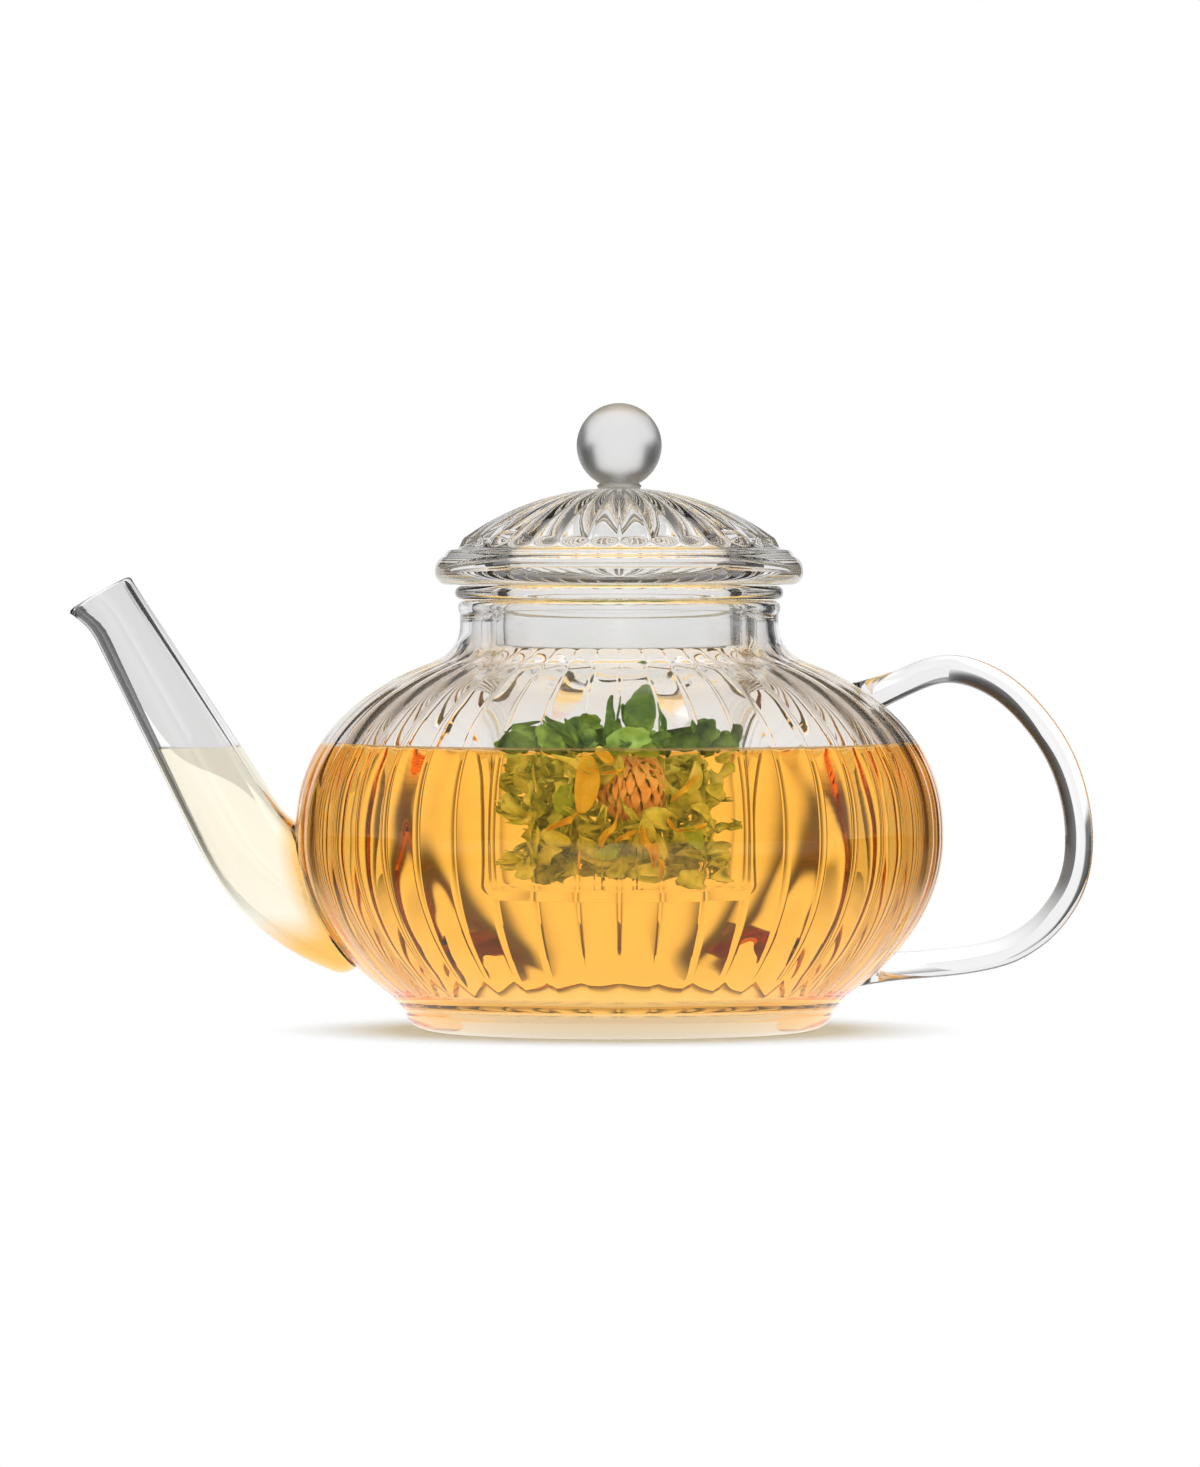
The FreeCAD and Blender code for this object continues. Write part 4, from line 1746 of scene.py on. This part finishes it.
    @staticmethod
    def golden() -> list[Sprig]:
        """Yellow petals and strips.

        Returns:
            The petals and their places.
        """
        return [
            Sprig("petal", -7.6, -24.5, 58.2, 7.0, 6.0, 1.0),
            Sprig("petal", -3.6, -24.0, 65.0, -30.0, 0.0, 0.4),
            Sprig("strip", -12.0, -25.0, 50.0, 58.0, 0.0, 1.0),
            Sprig("strip", 11.8, -24.0, 49.8, -40.0, 0.0, 0.62),
            Sprig("strip", 16.8, -22.0, 48.0, 75.0, 0.0, 0.75),
            Sprig("strip", 6.4, -26.5, 44.0, -12.0, 20.0, 1.0),
            Sprig("strip", -2.4, -26.5, 47.6, 24.0, -20.0, 0.9),
            Sprig("strip", 2.4, -27.0, 46.4, 70.0, 10.0, 0.9),
            Sprig("strip", -8.8, -26.0, 40.4, 10.0, 0.0, 0.6),
            Sprig("strip", 8.6, -26.0, 40.6, -8.0, 40.0, 0.9),
            Sprig("strip", -1.0, -25.0, 61.0, 80.0, 10.0, 0.7),
            Sprig("strip", 15.0, -22.0, 57.0, 40.0, 0.0, 0.8),
        ]

    def steeped(self, templates: dict[str, bpy.types.Object]) -> list[bpy.types.Object]:
        """Leaves scattered through the tea in the cup.

        Args:
            templates: One leaf of each kind.

        Returns:
            The leaves.
        """
        chance = random.Random(self.seed)
        pieces = []
        for index in range(self.fill_count):
            kind = chance.choice(self.fill_kinds)
            angle = chance.uniform(0.0, math.tau)
            reach = self.fill_radius * math.sqrt(chance.uniform(0.2, 1.0))
            height = self.fill_low + (self.fill_high - self.fill_low) * (index + 0.5) / self.fill_count
            place = Vector((reach * math.cos(angle), reach * math.sin(angle), height))
            spin = chance.uniform(-1.0, 1.0)
            spin = 90.0 + self.flat_spin * spin if height < self.fill_flat else 180.0 * spin
            turn = (chance.uniform(65.0, 115.0), spin, math.degrees(angle) + 90.0)
            size = chance.uniform(0.55, 0.95)
            pieces.append(Bench.copy(templates[kind], place, turn, size))
        return pieces

    def strewn(self, templates: dict[str, bpy.types.Object]) -> list[bpy.types.Object]:
        """Small leaves strewn over the tea's surface in the cup, between those that are listed.

        Args:
            templates: One leaf of each kind.

        Returns:
            The leaves.
        """
        chance = random.Random(self.seed + 1)
        pieces = []
        for index in range(self.strewn_count):
            kind = chance.choice(self.strewn_kinds)
            angle = math.tau * index * self.strewn_step
            reach = self.fill_radius * math.sqrt(chance.uniform(0.35, 1.0))
            height = self.surface + chance.uniform(0.5, 3.6) * MM
            place = Vector((reach * math.cos(angle), reach * math.sin(angle), height))
            tip, spin = chance.uniform(60.0, 120.0), chance.uniform(-110.0, 110.0)
            turn = (tip, spin, math.degrees(angle) + 90.0)
            pieces.append(Bench.copy(templates[kind], place, turn, chance.uniform(0.45, 0.75)))
        return pieces

    def flower(self, template: bpy.types.Object) -> list[bpy.types.Object]:
        """Narrow bracts set around a ball by the golden angle.

        Args:
            template: One bract.

        Returns:
            The bracts.
        """
        centre = Vector(self.flower_centre) * MM
        golden = math.pi * (3.0 - math.sqrt(5.0))
        pieces = []
        for index in range(self.bracts):
            height = 1.0 - 2.0 * (index + 0.5) / self.bracts
            ring = math.sqrt(1.0 - height * height)
            angle = golden * index
            out = Vector((ring * math.cos(angle), ring * math.sin(angle), height))
            turn = [math.degrees(part) for part in out.to_track_quat("Z", "Y").to_euler()]
            size = self.bract_sizes[index % len(self.bract_sizes)]
            pieces.append(Bench.copy(template, centre + out * self.flower_radius, turn, size))
        return pieces

    @staticmethod
    def placed(sprigs: Sequence[Sprig], templates: dict[str, bpy.types.Object]) -> list[bpy.types.Object]:
        """The leaves that are listed, each in its given place."""
        return [sprig.copy(templates) for sprig in sprigs]

    @staticmethod
    def group(name: str, leaves: Sequence[bpy.types.Object], tissue: Tissue) -> None:
        """Join leaves into one piece, dress it and hang it in the cup.

        Args:
            name: The piece's name.
            leaves: The leaves in their places.
            tissue: Their finish.
        """
        piece = Bench.join(name, leaves)
        Bench.dress(piece, tissue.value.material())
        settle(piece, Body.INFUSER, None)

    def build(self) -> None:
        """Model each kind once, finely and plainly, copy it into place and dress the groups."""
        kinds = self.kinds()
        fine = {name: kind.template() for name, kind in kinds.items()}
        coarse = {name: replace(kind, columns=3, rows=7, smooth=0) for name, kind in kinds.items()}
        plain = {name: kind.template() for name, kind in coarse.items()}
        floating = self.placed(self.floating(), fine)
        self.group("leaves_floating", floating + self.strewn(plain), Tissue.FRESH_LEAF)
        self.group("leaves_steeped", self.steeped(plain), Tissue.STEEPED_LEAF)
        self.group("leaves_young", self.placed(self.crown(), fine), Tissue.YOUNG_LEAF)
        self.group("petals_golden", self.placed(self.golden(), fine), Tissue.GOLDEN_PETAL)
        self.group("flower_bracts", self.flower(fine["bract"]), Tissue.ORANGE_BRACT)
        for template in (*fine.values(), *plain.values()):
            Bench.discard(template)


@dataclass(frozen=True)
class Card:
    """A small lit card close behind one piece of clear glass, with sizes in millimetres."""

    name: str
    centre: Point3
    size: Point2
    strength: float


@dataclass
class Studio:
    """Pale floor, soft light and the photograph's camera."""

    camera_distance: float = 1.88
    camera_height: float = 96.4 * MM
    aim_x: float = -4.5 * MM
    aim_z: float = 69.7 * MM
    lens: float = 196.3
    sensor: float = 36.0
    floor_radius: float = 6.0
    floor_near: float = 0.052
    floor_fade: float = 0.030
    floor_dark: Colour = (0.46, 0.52, 0.58)
    floor_light: Colour = (0.48, 0.54, 0.60)
    floor_grain: float = 900.0
    front_fade: float = 80.0 * MM
    front_edge: float = -60.0 * MM
    front_dim: float = 0.5
    apron: float = 0.25
    apron_glow: float = 0.55
    card_y: float = 0.9
    card_width: float = 2.4
    card_height: float = 1.2
    field_core: float = 0.14
    field_glow: float = 1.1
    field_spread: float = 0.6
    spread_glow: float = 0.15
    field_z: float = 0.05
    field_rise: float = 0.22
    field_low: float = 0.28
    gloom: float = 0.03
    room: float = 0.18
    glow: float = 0.8
    back_power: float = 6.0
    side_power: float = 14.0
    side_share: float = 0.7
    level_power: float = 5.0
    ceiling_z: float = 0.8
    ceiling_fade: float = 0.125
    ceiling_dim: float = 0.1
    daylight: float = 1.7
    lamp_place: Point3 = (0.0, -0.1, 1.4)
    lamp_size: float = 1.2
    lamp_power: float = 6.0
    glass_bounces: int = 48
    mirror_bounces: int = 12
    cards: tuple[Card, ...] = (
        Card("handle_card", (105.0, 130.0, 45.0), (55.0, 82.0), 0.94),
        Card("spout_card", (-116.0, 130.0, 90.0), (74.0, 64.0), 0.82),
        Card("spout_low_card", (-116.0, 130.0, 29.0), (74.0, 58.0), 1.15),
        Card("lid_card", (0.0, 110.0, 99.5), (165.0, 71.0), 0.9),
        Card("knob_card", (0.0, 60.0, 142.0), (46.0, 46.0), 0.82),
    )

    def across(self, x: Value) -> Value:
        """Brightness of the lit field across the set: full behind the pot, dim at both sides."""
        core = self.field_glow * (x * x).bell(self.field_core ** 2)
        return self.gloom + core + self.spread_glow * x.bell(self.field_spread)

    def glass_ray(self, path: Placed) -> Value:
        """One for a view through or off glass that no matt surface has scattered, otherwise zero."""
        seen = path.out("Is Transmission Ray").most(path.out("Is Glossy Ray"))
        return seen * (1.0 - path.out("Diffuse Depth").least(1.0)) * (1.0 - path.out("Is Camera Ray"))

    def floor(self) -> None:
        """Lay a round pale floor that keeps the pot's shadow and runs out into white; views through glass
        see a painted glow on it instead.
        """
        Bench.clear()
        bpy.ops.mesh.primitive_circle_add(vertices=96, radius=self.floor_radius, fill_type="NGON")
        floor = bpy.context.object
        floor.name = "floor"
        material, shader = new_shader("pale_floor")
        x, y, _ = shader.axes()
        distance = (x * x + y * y) ** 0.5
        far = ((distance - self.floor_near) / self.floor_fade).clamp()
        path = shader.node("ShaderNodeLightPath")
        camera = path.out("Is Camera Ray")
        glass = self.glass_ray(path)
        grain = shader.noise(self.floor_grain, 2.0)
        colour = shader.ramp(grain, ((0.3, self.floor_dark), (0.7, self.floor_light)))
        paint = shader.node("ShaderNodeBsdfDiffuse", None, {"Color": colour}).out("BSDF")
        # painted glow that only glass sees: graded across, dimmer in front of the pot, with a glowing apron
        # farther in front
        behind = ((y - self.front_edge) / self.front_fade).clamp()
        in_front = ((distance - self.apron) / self.apron).clamp() * (y / -self.apron).clamp()
        painted_glass_glow = self.across(x) * (self.front_dim + (1.0 - self.front_dim) * behind)
        painted_glass_glow = painted_glass_glow + self.apron_glow * in_front
        light = shader.glow(camera * far + glass * painted_glass_glow)
        both = shader.node("ShaderNodeAddShader", None, {0: paint, 1: light}).out("Shader")
        shader.surface(shader.blend((far * camera + glass).clamp(), both, light))
        Bench.dress(floor, material)

    def card(
        self,
        name: str,
        centre: Sequence[float],
        size: Point2,
        light: float | Callable[[Shader], Value],
    ) -> None:
        """Stand a lit card that only glass sees; the camera and the lamp look past it.

        Args:
            name: The card's name.
            centre: Its middle.
            size: Width and height.
            light: Its strength, or a method that gives it from the card's shader.
        """
        Bench.clear()
        bpy.ops.mesh.primitive_plane_add(size=1.0)
        card = bpy.context.object
        card.name = name
        bpy.ops.object.mode_set(mode="EDIT")
        bpy.ops.transform.resize(value=(*size, 1.0), center_override=ORIGIN)
        bpy.ops.transform.rotate(value=-math.pi / 2, orient_axis="X", center_override=ORIGIN)
        bpy.ops.transform.translate(value=centre)
        bpy.ops.object.mode_set(mode="OBJECT")
        material, shader = new_shader(name)
        glass = self.glass_ray(shader.node("ShaderNodeLightPath"))
        strength = light(shader) if callable(light) else light
        shader.surface(shader.blend(glass, shader.clear(), shader.glow(strength)))
        Bench.dress(card, material)

    def backlight(self, shader: Shader) -> Value:
        """Strength of the backdrop: brightest behind the pot, fading upwards and to both sides.

        Args:
            shader: The backdrop's shader.

        Returns:
            The strength at each place.
        """
        x, _, z = shader.axes()
        up = self.field_low + (1.0 - self.field_low) * (z - self.field_z).most(0.0).bell(self.field_rise)
        return self.across(x) * up

    def backdrops(self) -> None:
        """Set one wide card far behind the pot, and small ones behind the handle, spout, lid and knob."""
        middle = (0.0, self.card_y, 0.5 * self.card_height)
        self.card("backdrop", middle, (self.card_width, self.card_height), self.backlight)
        for card in self.cards:
            width, height = card.size
            self.card(card.name, Vector(card.centre) * MM, (width * MM, height * MM), card.strength)

    def surround(self, x: Value, y: Value, z: Value) -> Value:
        """Brightness of the studio as glass sees it: strips behind the pot and at both sides, dark between.

        Args:
            x: Direction across.
            y: Direction ahead.
            z: Direction up.

        Returns:
            Light from that direction.
        """
        flat = (x * x + y * y).most(0.0001)
        ahead = y.most(0.0)
        strips = (ahead * ahead / flat) ** self.back_power
        strips = strips + self.side_share * (x * x / flat) ** self.side_power
        level = (1.0 - z * z).most(0.0) ** self.level_power
        overhead = ((z - self.ceiling_z) / self.ceiling_fade).clamp()
        return self.room + self.glow * strips * level - self.ceiling_dim * overhead

    def world(self) -> None:
        """Soft surround: white where the camera looks past the pot, graded where glass bends the view."""
        world = bpy.data.worlds.new("studio")
        world.use_nodes = True
        bpy.context.scene.world = world
        shader = Shader(world.node_tree)
        graded = self.surround(*shader.axes("Generated"))
        path = shader.node("ShaderNodeLightPath")
        lighting = path.out("Diffuse Depth").above(0.5)
        strength = graded * (1.0 - lighting) + self.daylight * lighting
        camera = path.out("Is Camera Ray")
        strength = strength * (1.0 - camera) + camera
        glow = shader.node("ShaderNodeBackground", None, {"Color": WHITE, "Strength": strength})
        shader.node("ShaderNodeOutputWorld", None, {"Surface": glow.out("Background")})

    def lamp(self) -> None:
        """Hang one broad soft lamp above the pot, which glass neither mirrors nor shows."""
        Bench.clear()
        bpy.ops.object.light_add(type="AREA", location=self.lamp_place)
        lamp = bpy.context.object
        lamp.name = "overhead"
        lamp.data.shape = "DISK"
        lamp.data.size = self.lamp_size
        lamp.data.energy = self.lamp_power
        lamp.visible_glossy = False
        lamp.visible_transmission = False

    def camera(self) -> None:
        """Set the camera where the photograph was taken from."""
        Bench.clear()
        place = Vector((self.aim_x, -self.camera_distance, self.camera_height))
        aim = Vector((self.aim_x, 0.0, self.aim_z))
        bpy.ops.object.camera_add(location=place)
        camera = bpy.context.object
        camera.name = "portrait"
        camera.rotation_euler = (aim - place).to_track_quat("-Z", "Y").to_euler()
        camera.data.lens = self.lens
        camera.data.sensor_fit = "AUTO"
        camera.data.sensor_width = self.sensor
        bpy.context.scene.camera = camera

    def build(self) -> None:
        """Set up the whole studio."""
        self.floor()
        self.backdrops()
        self.world()
        self.lamp()
        self.camera()
        scene = bpy.context.scene
        scene.view_settings.view_transform = "Standard"
        scene.cycles.max_bounces = self.glass_bounces
        scene.cycles.transmission_bounces = self.glass_bounces
        scene.cycles.glossy_bounces = self.mirror_bounces
        scene.cycles.blur_glossy = 0.0


def main() -> None:
    """Build the pot piece by piece, fill it and light it."""
    logging.basicConfig(level=logging.INFO, format="%(name)s: %(message)s")
    glass = {finish: finish.value.material() for finish in Glass}
    pot, spout, handle, infuser, lid, tea = PotBody(), Spout(), Handle(), Infuser(), Lid(), Tea()
    plug = pot.plug(-FUSED_GAP)
    bore = spout.bore(-BORE_LEAD, spout.wall)
    pot.dress(pot.build(bore), glass)
    spout.dress(spout.build(plug, bore), glass)
    handle.dress(handle.build(plug), glass)
    for tool in (bore, plug):
        Bench.discard(tool)
    infuser.dress(infuser.build(), glass)
    lid.dress(lid.build(), glass)
    tea.dress(tea.build(pot, spout))
    Brew().build()
    Studio().build()


if __name__ == "__main__":
    main()
